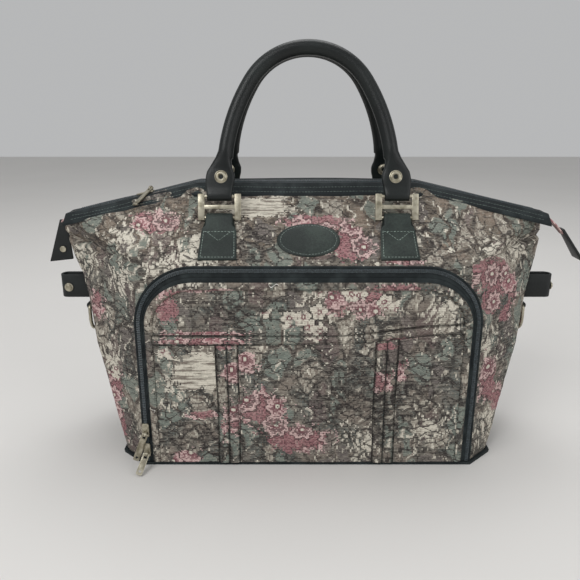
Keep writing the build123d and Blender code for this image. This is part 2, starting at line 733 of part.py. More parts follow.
# ---------------------------------------------------------------- side loops, chapes and D-rings
side_lean = math.atan(side_spread)
d_bar_places = {}
for side, side_name in ((-1, "left"), (1, "right")):
    side_normal = (side * math.cos(side_lean), 0, -math.sin(side_lean))

    def on_side(height):
        """Point of the side face at a height, in the bag's middle plane."""
        return Vector(side * (base_half_length + side_spread * height), 0, height)

    with BuildPart() as loop:
        with BuildSketch(Plane.XY.offset(loop_low)):
            with Locations((side * (loop_reach - 30), 0)):
                RectangleRounded(60, 2 * loop_half_width, loop_half_width - 0.5)
                inner_half = loop_half_width - loop_leather
                RectangleRounded(60 - 2 * loop_leather, 2 * inner_half, inner_half - 0.5, mode=Mode.SUBTRACT)
        extrude(amount=loop_height)
        split(bisect_by=Plane(origin=on_side(0), z_dir=side_normal), keep=Keep.TOP)
    loop.part.label = side_name + "_loop"
    export_step(loop.part, "parts/" + side_name + "_loop.step")

    stud_height_z = loop_low + 0.45 * loop_height
    if side < 0:
        stud_frame = Plane(origin=(side * (loop_reach - 10), -loop_half_width, stud_height_z), z_dir=(0, -1, 0))
    else:
        stud_frame = Plane(origin=(side * loop_reach, 0, stud_height_z), z_dir=(1, 0, 0))
    with BuildPart() as stud:
        with BuildSketch(stud_frame):
            Circle(stud_radius)
        extrude(amount=stud_height * 0.4)
        with BuildSketch(stud_frame.offset(stud_height * 0.4)):
            Circle(stud_radius * 0.62)
        extrude(amount=stud_height * 0.6)
    stud.part.label = side_name + "_loop_stud"
    export_step(stud.part, "parts/" + side_name + "_loop_stud.step")

    # The chape is sewn on the side face and folded outwards round the D-ring's bar at its top.
    chape_frame = Plane(origin=on_side(chape_foot), x_dir=(0, side, 0), z_dir=side_normal)
    bar_along = (chape_bar_height - chape_foot) / math.cos(side_lean)
    d_fold_radius = d_wire_radius + fold_clearance + leather
    with BuildPart() as chape:
        with BuildSketch(chape_frame):
            Rectangle(2 * chape_half_width, bar_along, align=(Align.CENTER, Align.MIN))
        extrude(amount=leather)
        bar_place = chape_frame.from_local_coords(Vector(0, bar_along, d_fold_radius))
        with BuildSketch(Plane(origin=bar_place, x_dir=chape_frame.y_dir, z_dir=chape_frame.x_dir)):
            Circle(d_fold_radius)
        extrude(amount=chape_half_width - 1.5, both=True)
        with BuildSketch(Plane(origin=bar_place, x_dir=chape_frame.y_dir, z_dir=chape_frame.x_dir)):
            Circle(d_wire_radius + fold_clearance)
        extrude(amount=chape_half_width + 5, both=True, mode=Mode.SUBTRACT)
    chape.part.label = side_name + "_chape"
    export_step(chape.part, "parts/" + side_name + "_chape.step")
    d_bar_places[side_name] = bar_place

    ring_frame = Plane(origin=bar_place, x_dir=(0, side, 0), z_dir=(side, 0, 0))
    curve_middle = -(d_drop - d_half_width)
    with BuildPart() as d_ring:
        with BuildLine(ring_frame) as d_path:
            Line((-d_half_width + 3, 0), (d_half_width - 3, 0))
            RadiusArc((d_half_width - 3, 0), (d_half_width, -3), 3)
            Line((d_half_width, -3), (d_half_width, curve_middle))
            RadiusArc((d_half_width, curve_middle), (-d_half_width, curve_middle), d_half_width)
            Line((-d_half_width, curve_middle), (-d_half_width, -3))
            RadiusArc((-d_half_width, -3), (-d_half_width + 3, 0), 3)
        wire = d_path.wire()
        with BuildSketch(Plane(origin=wire @ 0, z_dir=wire % 0)):
            Circle(d_wire_radius)
        sweep(path=wire)
    d_ring.part.label = side_name + "_d_ring"
    export_step(d_ring.part, "parts/" + side_name + "_d_ring.step")
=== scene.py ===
"""Zip-top carpet bag in tapestry cloth, with a round-cornered front pocket and two rolled leather handles.

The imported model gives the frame: metres, X to the right, -Y to the front, Z up, origin under the middle.
"""
import json
import logging
import math
from dataclasses import dataclass, field
from enum import Enum
from typing import Callable, Sequence

import bpy
import numpy as np
from mathutils import Matrix, Vector, noise

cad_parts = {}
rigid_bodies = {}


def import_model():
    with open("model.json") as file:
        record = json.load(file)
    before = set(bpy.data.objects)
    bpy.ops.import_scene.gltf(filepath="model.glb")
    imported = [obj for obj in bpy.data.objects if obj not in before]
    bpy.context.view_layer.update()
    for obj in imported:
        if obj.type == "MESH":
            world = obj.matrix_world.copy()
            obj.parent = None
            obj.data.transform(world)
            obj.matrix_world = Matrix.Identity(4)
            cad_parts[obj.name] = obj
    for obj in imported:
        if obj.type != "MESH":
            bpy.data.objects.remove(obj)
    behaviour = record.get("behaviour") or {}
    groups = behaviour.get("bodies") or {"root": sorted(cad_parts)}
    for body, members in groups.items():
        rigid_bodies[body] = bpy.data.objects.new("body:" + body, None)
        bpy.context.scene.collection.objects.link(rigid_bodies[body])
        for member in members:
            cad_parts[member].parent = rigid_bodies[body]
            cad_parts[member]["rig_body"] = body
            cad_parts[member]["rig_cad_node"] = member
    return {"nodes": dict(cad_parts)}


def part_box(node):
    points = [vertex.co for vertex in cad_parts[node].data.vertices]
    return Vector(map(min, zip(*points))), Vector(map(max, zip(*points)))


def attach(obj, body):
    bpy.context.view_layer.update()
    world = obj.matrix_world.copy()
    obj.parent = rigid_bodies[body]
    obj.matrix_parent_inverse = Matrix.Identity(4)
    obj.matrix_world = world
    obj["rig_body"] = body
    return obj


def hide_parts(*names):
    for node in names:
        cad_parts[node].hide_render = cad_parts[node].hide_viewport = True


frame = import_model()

log = logging.getLogger("carpet_bag")
Array = np.ndarray
Thing = bpy.types.Object
Material = bpy.types.Material
Socket = bpy.types.NodeSocket
Section = Sequence[tuple[float, float]]
Place = Callable[[Array, Array, Array], Array]

# Sizes that several parts share, in metres, and the directions of the leaning planes.
MM = 0.001
HALF_DEPTH = 0.095
SHOULDER = 0.224
RIDGE = 0.296
RIDGE_HALF_LENGTH = 0.120
SEAM_TOP = 0.165
CORNER_SLOPE = (0.1803, 0.5913, 0.7861)
SLOPE_IN, SLOPE_UP = 0.7515, 0.6598
HANG_BACK, HANG_RISE = 0.2385, 0.9711


class Half(Enum):
    """One of two opposite halves of the bag."""

    @property
    def word(self) -> str:
        """Gives the half's name as pieces carry it."""
        return self.name.lower()


class Side(Half):
    """Front or back of the bag, valued by the sign of Y."""

    FRONT = -1.0
    BACK = 1.0


class Hand(Half):
    """Left or right of the bag as seen from the front, valued by the sign of X."""

    LEFT = -1.0
    RIGHT = 1.0


# ---------------------------------------------------------------- bench tools


def clear_selection() -> None:
    """Deselects every object."""
    bpy.ops.object.select_all(action="DESELECT")


def pick(piece: Thing) -> None:
    """Makes one object the only selected and the active one.

    Args:
        piece: The object to pick.
    """
    clear_selection()
    piece.select_set(True)
    bpy.context.view_layer.objects.active = piece


def christen(name: str) -> Thing:
    """Names the object that an operator has just added.

    Args:
        name: The piece's name.

    Returns:
        The object, now named.
    """
    piece = bpy.context.object
    piece.name = name
    piece.data.name = name
    return piece


def settle(piece: Thing) -> None:
    """Moves an object's place, turn and size into its mesh.

    Args:
        piece: The object to settle.
    """
    pick(piece)
    bpy.ops.object.transform_apply(location=True, rotation=True, scale=True)


def points_of(piece: Thing) -> Array:
    """Reads a mesh's vertex places.

    Args:
        piece: The mesh object.

    Returns:
        An array of shape (vertices, 3) in metres.
    """
    flat = np.zeros(len(piece.data.vertices) * 3, np.float32)
    piece.data.vertices.foreach_get("co", flat)
    return flat.reshape(-1, 3).astype(float)


def move_points(piece: Thing, points: Array) -> None:
    """Writes a mesh's vertex places.

    Args:
        piece: The mesh object.
        points: An array of shape (vertices, 3) in metres.
    """
    piece.data.vertices.foreach_set("co", points.astype(np.float32).ravel())
    piece.data.update()


def modify(piece: Thing, kind: str, **settings: object) -> None:
    """Adds a modifier, sets it and applies it.

    Args:
        piece: The mesh object.
        kind: Blender's name for the modifier type.
        **settings: The modifier's settings.
    """
    pick(piece)
    modifier = piece.modifiers.new(kind.title(), kind)
    for key, value in settings.items():
        setattr(modifier, key, value)
    bpy.ops.object.modifier_apply(modifier=modifier.name)


def close_up(piece: Thing, fill: bool = True) -> None:
    """Merges doubled points, closes open ends and points the faces outwards.

    Args:
        piece: The mesh object.
        fill: True where open ends are to be closed.
    """
    pick(piece)
    bpy.ops.object.mode_set(mode="EDIT")
    bpy.ops.mesh.select_all(action="SELECT")
    bpy.ops.mesh.remove_doubles(threshold=2e-6)
    if fill:
        bpy.ops.mesh.select_all(action="DESELECT")
        bpy.ops.mesh.select_non_manifold()
        bpy.ops.mesh.edge_face_add()
    bpy.ops.mesh.select_all(action="SELECT")
    bpy.ops.mesh.normals_make_consistent(inside=False)
    bpy.ops.object.mode_set(mode="OBJECT")


def smooth(piece: Thing, degrees: float = 40.0) -> None:
    """Shades a piece smooth up to an angle.

    Args:
        piece: The mesh object.
        degrees: The sharpest edge that still looks smooth.
    """
    pick(piece)
    bpy.ops.object.shade_smooth_by_angle(angle=math.radians(degrees))


def swept(name: str, stations: int, section: Section, place: Place,
          ring: bool = False, degrees: float = 40.0) -> Thing:
    """Bends a grid into a closed tube with one section along a run.

    Args:
        name: The piece's name.
        stations: How many steps the run has.
        section: The section's corners as (across, height), in order round it.
        place: Gives the point for a share of the run, an across and a height.
        ring: True where the run closes on itself.
        degrees: The sharpest edge that is shaded smooth.

    Returns:
        The closed mesh object.
    """
    count = len(section)
    clear_selection()
    bpy.ops.mesh.primitive_grid_add(x_subdivisions=stations, y_subdivisions=count, size=1.0)
    piece = christen(name)
    grid = points_of(piece)
    step = np.rint((grid[:, 0] + 0.5) * stations).astype(int)
    corner = np.rint((grid[:, 1] + 0.5) * count).astype(int) % count
    outline = np.array(section, float)[corner]
    share = step / stations
    if ring:
        share = np.where(step == stations, 0.0, share)
    move_points(piece, place(share, outline[:, 0], outline[:, 1]))
    close_up(piece, fill=not ring)
    smooth(piece, degrees)
    return piece


def turned(name: str, profile: Section, centre: Vector, axis: Vector,
           steps: int = 32) -> Thing:
    """Turns a profile about an axis, as on a lathe.

    Args:
        name: The piece's name.
        profile: Corners as (radius, height), in order round the section.
        centre: Where the profile's height is zero.
        axis: The direction of the height.
        steps: Steps in a full turn.

    Returns:
        The closed mesh object.
    """
    up = axis.normalized()
    first = up.orthogonal().normalized()
    second = up.cross(first)
    frame_rows = np.array([first, second, up], float)

    def place(share: Array, radius: Array, height: Array) -> Array:
        """Puts a point of the profile at its turn.

        Args:
            share: Shares of the full turn.
            radius: Distances from the axis.
            height: Heights on the axis.

        Returns:
            The points.
        """
        angle = 2 * math.pi * share
        local = np.stack([radius * np.cos(angle), radius * np.sin(angle), height], axis=1)
        return local @ frame_rows + np.array(centre)

    return swept(name, steps, profile, place, ring=True)


def repeated(name: str, pattern: Thing, places: Sequence[Matrix]) -> Thing:
    """Copies one small shape to many places in a single mesh, and removes the pattern.

    Args:
        name: The new piece's name.
        pattern: The shape to copy, at the origin.
        places: A matrix for each copy.

    Returns:
        One mesh object that holds every copy.
    """
    corners = points_of(pattern)
    faces = [list(polygon.vertices) for polygon in pattern.data.polygons]
    count = len(corners)
    homogeneous = np.hstack([corners, np.ones((count, 1))])
    points = [homogeneous @ np.array(matrix, float).T[:, :3] for matrix in places]
    everything = [[index + count * copy for index in face] for copy in range(len(points)) for face in faces]
    mesh = bpy.data.meshes.new(name)
    mesh.from_pydata(np.vstack(points).tolist(), [], everything)
    piece = bpy.data.objects.new(name, mesh)
    bpy.context.scene.collection.objects.link(piece)
    bpy.data.objects.remove(pattern)
    smooth(piece, 50.0)
    return piece


def joined(name: str, parts: Sequence[Thing]) -> Thing:
    """Joins several objects into one piece.

    Args:
        name: The piece's name.
        parts: The objects to join.

    Returns:
        The joined object.
    """
    clear_selection()
    for part in parts:
        part.select_set(True)
    bpy.context.view_layer.objects.active = parts[0]
    bpy.ops.object.join()
    return christen(name)


def block(name: str, size: Sequence[float], centre: Sequence[float], axes: Sequence[Vector],
          rounding: float) -> Thing:
    """Adds a bar with rounded edges, turned to three axes.

    Args:
        name: The piece's name.
        size: Its three lengths.
        centre: Its middle.
        axes: The directions of those lengths.
        rounding: The radius of its edges.

    Returns:
        The bar as a mesh object.
    """
    clear_selection()
    bpy.ops.mesh.primitive_cube_add(size=1.0, scale=tuple(size))
    piece = christen(name)
    settle(piece)
    modify(piece, "BEVEL", width=rounding, segments=3, limit_method="ANGLE")
    turn = Matrix([list(axis) for axis in axes]).transposed()
    piece.data.transform(Matrix.Translation(Vector(centre)) @ turn.to_4x4())
    smooth(piece, 50.0)
    return piece


def sheet(name: str, columns: int, rows: int, place: Callable[[Array, Array], Array],
          thickness: float) -> Thing:
    """Bends a grid into an open sheet and gives it a thickness.

    Args:
        name: The piece's name.
        columns: Steps across.
        rows: Steps up.
        place: Gives the outer point for a share across and a share up.
        thickness: The sheet's thickness, laid inwards.

    Returns:
        The closed mesh object.
    """
    clear_selection()
    bpy.ops.mesh.primitive_grid_add(x_subdivisions=columns, y_subdivisions=rows, size=1.0)
    piece = christen(name)
    grid = points_of(piece) + 0.5
    move_points(piece, place(grid[:, 0], grid[:, 1]))
    modify(piece, "SOLIDIFY", thickness=thickness, offset=-1.0)
    close_up(piece, fill=False)
    smooth(piece, 50.0)
    return piece


def stitch(length: float, radius: float) -> Thing:
    """Makes one stitch, a short thread that lies along X and dips at both ends.

    Args:
        length: How long the stitch shows.
        radius: Half the thread's thickness.

    Returns:
        The stitch at the origin.
    """
    clear_selection()
    bpy.ops.mesh.primitive_cylinder_add(vertices=6, radius=radius, depth=length, rotation=(0, math.pi / 2, 0))
    piece = christen("stitch")
    settle(piece)
    points = points_of(piece)
    ends = np.abs(points[:, 0]) > 0.4 * length
    points[ends, 1] *= 0.5
    points[ends, 2] = points[ends, 2] * 0.4 - 0.8 * radius
    move_points(piece, points)
    return piece


def along(route: Array, normals: Array, pitch: float) -> list[Matrix]:
    """Spaces frames evenly along a route, X along it and Z out of the surface.

    Args:
        route: The route's points.
        normals: The surface normal at each point.
        pitch: The distance from one frame to the next.

    Returns:
        One matrix for each place.
    """
    steps = np.linalg.norm(np.diff(route, axis=0), axis=1)
    reach = np.concatenate([[0.0], np.cumsum(steps)])
    count = max(1, int(reach[-1] / pitch))
    places = (np.arange(count) + 0.5) * reach[-1] / count
    matrices = []
    for distance in places:
        index = min(int(np.searchsorted(reach, distance, side="right")) - 1, len(route) - 2)
        share = (distance - reach[index]) / max(steps[index], 1e-9)
        centre = route[index] * (1 - share) + route[index + 1] * share
        ahead = Vector(route[index + 1] - route[index]).normalized()
        out = Vector(normals[index] * (1 - share) + normals[index + 1] * share).normalized()
        aside = out.cross(ahead).normalized()
        turn = Matrix([ahead, aside, ahead.cross(aside)]).transposed().to_4x4()
        matrices.append(Matrix.Translation(Vector(centre)) @ turn)
    return matrices


def stitched(name: str, route: Array, normals: Array, length: float = 2.4 * MM,
             radius: float = 0.3 * MM, pitch: float = 3.4 * MM) -> Thing:
    """Lays a row of stitches along a route.

    Args:
        name: The row's name.
        route: The route's points.
        normals: The surface normal at each point.
        length: How long each stitch shows.
        radius: Half the thread's thickness.
        pitch: The distance from one stitch to the next.

    Returns:
        The whole row as one mesh object.
    """
    return repeated(name, stitch(length, radius), along(route, normals, pitch))


def tooth(radius: float, length: float) -> Thing:
    """Makes one zip tooth, a short six-sided rod that lies along Y.

    Args:
        radius: Half its thickness.
        length: Its length.

    Returns:
        The tooth at the origin.
    """
    clear_selection()
    bpy.ops.mesh.primitive_cylinder_add(vertices=6, radius=radius, depth=length,
                                        rotation=(math.pi / 2, 0, 0))
    piece = christen("tooth")
    settle(piece)
    return piece


def mirrored(piece: Thing, name: str) -> Thing:
    """Copies a front piece to the back, with its own mesh.

    Args:
        piece: The front piece.
        name: The copy's name.

    Returns:
        The copy, on the other side of the bag's middle plane.
    """
    twin = piece.copy()
    twin.data = piece.data.copy()
    twin.name = name
    twin.data.name = name
    bpy.context.scene.collection.objects.link(twin)
    points = points_of(twin)
    points[:, 1] *= -1.0
    move_points(twin, points)
    twin.data.flip_normals()
    return twin


def hand_in(piece: Thing, body: str, slot: str, *nodes: str) -> None:
    """Fixes a piece to its body and hides the nodes of the frame that it replaces.

    Args:
        piece: The finished piece.
        body: The body that it moves with.
        slot: Not used.
        *nodes: The nodes of the frame that it replaces.
    """
    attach(piece, body)
    if nodes:
        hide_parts(*nodes)
    log.info("%s: %d faces on %s", piece.name, len(piece.data.polygons), body)


def dress(piece: Thing, material: Material) -> None:
    """Gives a piece one material all over.

    Args:
        piece: The object to dress.
        material: Its finish.
    """
    piece.data.materials.clear()
    piece.data.materials.append(material)


def put_together(name: str, parts: Sequence[Thing], material: Material) -> Thing:
    """Joins several objects into one piece and dresses it.

    Args:
        name: The piece's name.
        parts: The objects to join.
        material: Its finish.

    Returns:
        The joined, dressed object.
    """
    piece = joined(name, parts)
    dress(piece, material)
    return piece


# ---------------------------------------------------------------- finishes


def linear(red: float, green: float, blue: float) -> tuple[float, float, float, float]:
    """Turns a screen colour of 0 to 255 into Blender's linear colour.

    Args:
        red: Red from 0 to 255.
        green: Green from 0 to 255.
        blue: Blue from 0 to 255.

    Returns:
        The linear colour with an alpha of one.
    """
    def one(value: float) -> float:
        """Turns one channel linear."""
        share = value / 255.0
        return share / 12.92 if share <= 0.04045 else ((share + 0.055) / 1.055) ** 2.4

    return one(red), one(green), one(blue), 1.0


class Recipe:
    """A material's node tree, with short methods that add and link its nodes."""

    def __init__(self, name: str) -> None:
        """Starts a material with a principled shader.

        Args:
            name: The material's name.
        """
        self.material = bpy.data.materials.new(name)
        self.material.use_nodes = True
        self.tree = self.material.node_tree
        self.shader = self.tree.nodes["Principled BSDF"]

    def node(self, kind: str, inputs: dict, **settings: object) -> bpy.types.Node:
        """Adds a node, with its settings and inputs.

        Args:
            kind: The node's type without the ShaderNode prefix.
            inputs: What goes into each input, by name or number.
            **settings: The node's own settings.

        Returns:
            The node.
        """
        made = self.tree.nodes.new("ShaderNode" + kind)
        for key, value in settings.items():
            setattr(made, key, value)
        for key, value in inputs.items():
            self.feed(made.inputs[key], value)
        return made

    def feed(self, socket: Socket, value: object) -> None:
        """Links an input to another node's output, or sets its value.

        Args:
            socket: The input.
            value: A socket to link or a value to set.
        """
        if isinstance(value, Socket):
            self.tree.links.new(value, socket)
        else:
            socket.default_value = value

    def math(self, operation: str, *values: object) -> Socket:
        """Adds a math node and gives its result."""
        return self.node("Math", dict(enumerate(values)), operation=operation).outputs[0]

    def times(self, first: object, second: object) -> Socket:
        """Multiplies two values."""
        return self.math("MULTIPLY", first, second)

    def plus(self, first: object, second: object) -> Socket:
        """Adds two values."""
        return self.math("ADD", first, second)

    def minus(self, first: object, second: object) -> Socket:
        """Takes the second value from the first."""
        return self.math("SUBTRACT", first, second)

    def vector(self, operation: str, *values: object) -> Socket:
        """Adds a vector math node and gives its vector."""
        return self.node("VectorMath", dict(enumerate(values)), operation=operation).outputs["Vector"]

    def length(self, value: Socket) -> Socket:
        """Gives a vector's length."""
        return self.node("VectorMath", {0: value}, operation="LENGTH").outputs["Value"]

    def stretch(self, vector: Socket, size: Sequence[float],
                turn: float = 0.0) -> Socket:
        """Scales a pattern's coordinates, after turning them in the surface.

        Args:
            vector: The pattern's coordinates.
            size: The scale along each axis.
            turn: The turn in the surface, in degrees.

        Returns:
            The new coordinates.
        """
        turned_to = (0.0, 0.0, math.radians(turn))
        inputs = {"Vector": vector, "Rotation": turned_to, "Scale": tuple(size)}
        return self.node("Mapping", inputs).outputs[0]

    def noise(self, vector: Socket, scale: float, detail: float = 2.0,
              output: str = "Fac") -> Socket:
        """Adds a noise texture and gives one of its outputs."""
        return self.node("TexNoise", {"Vector": vector, "Scale": scale, "Detail": detail}).outputs[output]

    def step(self, value: object, low: float, high: float) -> Socket:
        """Gives a mask that rises from 0 to 1 between two values."""
        inputs = {"Value": value, "From Min": low, "From Max": high, "To Min": 0.0, "To Max": 1.0}
        return self.node("MapRange", inputs, clamp=True).outputs["Result"]

    def mix(self, share: object, first: object, second: object) -> Socket:
        """Mixes two colours.

        Args:
            share: How much of the second colour shows.
            first: The first colour.
            second: The second colour.

        Returns:
            The mixed colour.
        """
        made = self.node("Mix", {"Factor": share}, data_type="RGBA")
        self.feed(made.inputs[6], first)
        self.feed(made.inputs[7], second)
        return made.outputs[2]

    def lay(self, mask: object, share: float, under: object, over: object) -> Socket:
        """Lays a colour over another where a mask is, at a share of its strength."""
        return self.mix(self.times(mask, share), under, over)

    def channels(self, attribute: str) -> Sequence[Socket]:
        """Gives the three channels of a colour attribute."""
        colour = self.node("Attribute", {}, attribute_name=attribute).outputs["Color"]
        return self.node("SeparateColor", {0: colour}).outputs

    def bump(self, height: Socket, strength: float, distance: float) -> None:
        """Links a height to the shader's normal."""
        inputs = {"Height": height, "Strength": strength, "Distance": distance}
        self.link("Normal", self.node("Bump", inputs).outputs["Normal"])

    def link(self, socket: str, value: object) -> None:
        """Sets or links one of the shader's inputs."""
        self.feed(self.shader.inputs[socket], value)

    def place(self) -> Socket:
        """Gives the object's own coordinates."""
        return self.node("TexCoord", {}).outputs["Object"]


@dataclass(frozen=True)
class Leather:
    """Dyed leather with a fine grain and paler, rubbed places.

    Attributes:
        name: The finish's name.
        dark: Its colour where it is whole.
        rubbed: Its colour where it is worn.
        roughness: How dull it is.
        wear: How much of it is rubbed, from 0 to 1.
    """

    name: str
    dark: tuple[float, float, float]
    rubbed: tuple[float, float, float]
    roughness: float
    wear: float

    def make(self) -> Material:
        """Builds the material.

        Returns:
            The material.
        """
        recipe = Recipe(self.name)
        place = recipe.place()
        broad = recipe.noise(place, 28.0, 3.0)
        fine = recipe.noise(place, 420.0, 2.0)
        patches = recipe.step(recipe.plus(broad, recipe.times(fine, 0.3)), 0.58, 0.95)
        worn = recipe.times(patches, self.wear)
        colour = recipe.mix(worn, linear(*self.dark), linear(*self.rubbed))
        shade = recipe.step(recipe.noise(place, 900.0, 1.0), 0.3, 0.7)
        recipe.link("Base Color", recipe.mix(recipe.times(shade, 0.25), colour, linear(12, 16, 17)))
        recipe.link("Roughness", recipe.plus(self.roughness, recipe.times(broad, 0.18)))
        recipe.link("Specular IOR Level", 0.34)
        pores = recipe.node("TexVoronoi", {"Vector": place, "Scale": 1100.0}).outputs["Distance"]
        recipe.bump(recipe.plus(pores, recipe.times(broad, 2.0)), 0.35, 0.0004)
        return recipe.material


@dataclass(frozen=True)
class Metal:
    """Plated metal, dulled and scratched by handling.

    Attributes:
        name: The finish's name.
        bright: Its clean colour.
        aged: Its colour in tarnished places.
        roughness: How dull it is.
    """

    name: str
    bright: tuple[float, float, float]
    aged: tuple[float, float, float]
    roughness: float

    def make(self) -> Material:
        """Builds the material.

        Returns:
            The material.
        """
        recipe = Recipe(self.name)
        place = recipe.place()
        spots = recipe.step(recipe.noise(place, 160.0, 4.0), 0.42, 0.68)
        recipe.link("Base Color", recipe.mix(spots, linear(*self.bright), linear(*self.aged)))
        recipe.link("Metallic", 0.85)
        brushed = recipe.noise(recipe.stretch(place, (1.0, 1.0, 0.08)), 1500.0, 2.0)
        recipe.link("Roughness", recipe.plus(self.roughness, recipe.times(brushed, 0.2)))
        recipe.bump(brushed, 0.15, 0.0002)
        return recipe.material


@dataclass(frozen=True)
class ZipTape:
    """Woven zip tape with fine lengthways ribs.

    Attributes:
        name: The finish's name.
        colour: The tape's colour.
        pale: The colour of its lint and worn ribs.
    """

    name: str
    colour: tuple[float, float, float]
    pale: tuple[float, float, float]

    def make(self) -> Material:
        """Builds the material.

        Returns:
            The material.
        """
        recipe = Recipe(self.name)
        place = recipe.place()
        lint = recipe.step(recipe.noise(place, 700.0, 3.0), 0.52, 0.75)
        broad = recipe.noise(place, 60.0, 2.0)
        colour = recipe.mix(recipe.times(lint, 0.35), linear(*self.colour), linear(*self.pale))
        recipe.link("Base Color", recipe.mix(recipe.step(broad, 0.45, 0.8), colour, linear(*self.pale)))
        recipe.link("Roughness", recipe.plus(0.72, recipe.times(lint, 0.15)))
        recipe.link("Specular IOR Level", 0.25)
        recipe.bump(recipe.noise(place, 1600.0, 1.0), 0.5, 0.0004)
        return recipe.material


@dataclass(frozen=True)
class Moulded:
    """Moulded nylon, board or thread with a slight grain.

    Attributes:
        name: The finish's name.
        colour: Its colour.
        roughness: How dull it is.
    """

    name: str
    colour: tuple[float, float, float]
    roughness: float

    def make(self) -> Material:
        """Builds the material.

        Returns:
            The material.
        """
        recipe = Recipe(self.name)
        place = recipe.place()
        grain = recipe.noise(place, 500.0, 2.0)
        lighter = tuple(min(255.0, 1.5 * part + 14.0) for part in self.colour)
        mask = recipe.step(grain, 0.4, 0.8)
        recipe.link("Base Color", recipe.mix(mask, linear(*self.colour), linear(*lighter)))
        recipe.link("Roughness", recipe.plus(self.roughness, recipe.times(grain, 0.1)))
        recipe.bump(grain, 0.2, 0.0003)
        return recipe.material


@dataclass(frozen=True)
class Tapestry:
    """Jacquard cloth: flowers, leaves, ferns and a striped pool, woven in steps of one thread.

    The cloth's own UV map runs in metres. The first attribute holds where roses, cream flowers and pale
    leaves grow, and the second where dark branches and the pool are, and where shade is painted near black:
    inside the open mouth and in the pocket's sunk seams. The cloth's upper part also carries a painted warm
    light.

    Attributes:
        thread_across: The width of one warp step.
        thread_up: The height of one weft step.
        rose_pitch: The distance between rose flowers.
        leaf_pitch: The distance between leaves.
        leaf_bend: How far leaves and branches swing.
        flower_bend: How far flowers are pushed out of round.
        cream_share: The size of a cream flower beside a rose.
    """

    thread_across: float = 1.5 * MM
    thread_up: float = 1.1 * MM
    rose_pitch: float = 29.0 * MM
    leaf_pitch: float = 19.0 * MM
    leaf_bend: float = 0.030
    flower_bend: float = 0.012
    cream_share: float = 0.66

    def bent(self, recipe: Recipe, cloth: Socket, swirl: Socket, by: float) -> Socket:
        """Bends the cloth coordinates along a swirl, by up to half a distance."""
        return recipe.vector("ADD", cloth, recipe.vector("MULTIPLY", swirl, (by, by, 0.0)))

    def flower(self, recipe: Recipe, cloth: Socket, pitch: float, petals: float,
               seed: float) -> dict[str, Socket]:
        """Adds masks for round flowers with petals, one in each cell of a scattered net.

        Args:
            recipe: The material.
            cloth: The stepped cloth coordinates.
            pitch: The distance between flowers.
            petals: How many petals each has.
            seed: Moves the net, so that two nets differ.

        Returns:
            Masks named whole, rim, ring and eye, and a shade that differs from flower to flower.
        """
        moved = recipe.vector("ADD", cloth, (seed, seed * 0.7, 0.0))
        inputs = {"Vector": moved, "Scale": 1.0 / pitch, "Randomness": 0.75}
        net = recipe.node("TexVoronoi", inputs, voronoi_dimensions="2D")
        away = recipe.vector("SUBTRACT", moved, net.outputs["Position"])
        parts = recipe.node("SeparateXYZ", {0: away})
        angle = recipe.math("ARCTAN2", parts.outputs[1], parts.outputs[0])
        shade = recipe.node("SeparateColor", {0: net.outputs["Color"]})
        phase = recipe.times(shade.outputs[0], 6.28)
        wave = recipe.math("SINE", recipe.plus(recipe.times(angle, petals), phase))
        ragged = recipe.times(recipe.noise(cloth, 520.0, 1.0), 0.16)
        size = recipe.plus(0.34, recipe.times(shade.outputs[1], 0.14))
        edge = recipe.plus(recipe.math("MULTIPLY_ADD", wave, 0.055, size), ragged)
        reach = recipe.minus(edge, recipe.math("DIVIDE", recipe.length(away), pitch))
        centre = recipe.math("DIVIDE", recipe.length(away), pitch)
        return {
            "whole": recipe.step(reach, 0.06, 0.08),
            "outline": recipe.step(reach, -0.01, 0.01),
            "rim": recipe.step(recipe.math("ABSOLUTE", recipe.minus(reach, 0.125)), 0.06, 0.03),
            "gap": recipe.step(wave, -0.45, -0.8),
            "ring": recipe.step(centre, 0.17, 0.13),
            "eye": recipe.step(centre, 0.09, 0.06),
            "shade": shade.outputs[2],
        }

    def make(self) -> Material:
        """Builds the material.

        Returns:
            The material.
        """
        recipe = Recipe("tapestry")
        raw = recipe.node("UVMap", {}, uv_map="cloth").outputs[0]
        cloth = recipe.vector("SNAP", raw, (self.thread_across, self.thread_up, 1.0))
        colours = {key: linear(*value) for key, value in {
            "taupe": (124, 115, 106), "brown": (98, 88, 78), "slate": (94, 98, 94), "sage": (118, 126, 118),
            "dark": (50, 46, 45), "cream": (204, 198, 184), "bone": (163, 157, 145), "rose": (164, 116, 120),
            "pink": (206, 178, 174), "wine": (112, 72, 78), "plum": (98, 84, 83)}.items()}
        first = recipe.channels("bloom")
        second = recipe.channels("shade")
        jitter = recipe.minus(recipe.noise(cloth, 110.0, 4.0), 0.5)
        thready = recipe.minus(recipe.noise(cloth, 620.0, 1.0), 0.5)
        loose = recipe.plus(recipe.times(jitter, 1.3), recipe.times(thready, 0.7))

        def grown(socket: Socket, level: float = 0.42) -> Socket:
            """Gives a ragged mask of where a motif's field is above a level."""
            return recipe.step(recipe.plus(socket, loose), level - 0.03, level + 0.03)

        # The ground: taupe and brown, weft-striped, with a slow drift to slate, and painted warm light on its
        # upper part.
        drift = recipe.noise(cloth, 22.0, 3.0)
        ground = recipe.mix(recipe.step(drift, 0.42, 0.56), colours["taupe"], colours["slate"])
        ground = recipe.mix(recipe.step(recipe.plus(drift, thready), 0.62, 0.72), ground, colours["brown"])
        height = recipe.node("SeparateXYZ", {0: cloth}).outputs[1]
        # Painted light: above the shoulder the cloth is tinted warm brown, as if lit warm from above.
        painted_warm_light = recipe.times(recipe.step(height, 0.205, 0.25), 0.45)
        ground = recipe.mix(painted_warm_light, ground, linear(126, 108, 92))
        thicket = recipe.plus(recipe.noise(cloth, 46.0, 2.0), recipe.times(thready, 0.14))
        thicket = recipe.step(thicket, 0.54, 0.58)
        ground = recipe.lay(thicket, 0.40, ground, colours["dark"])
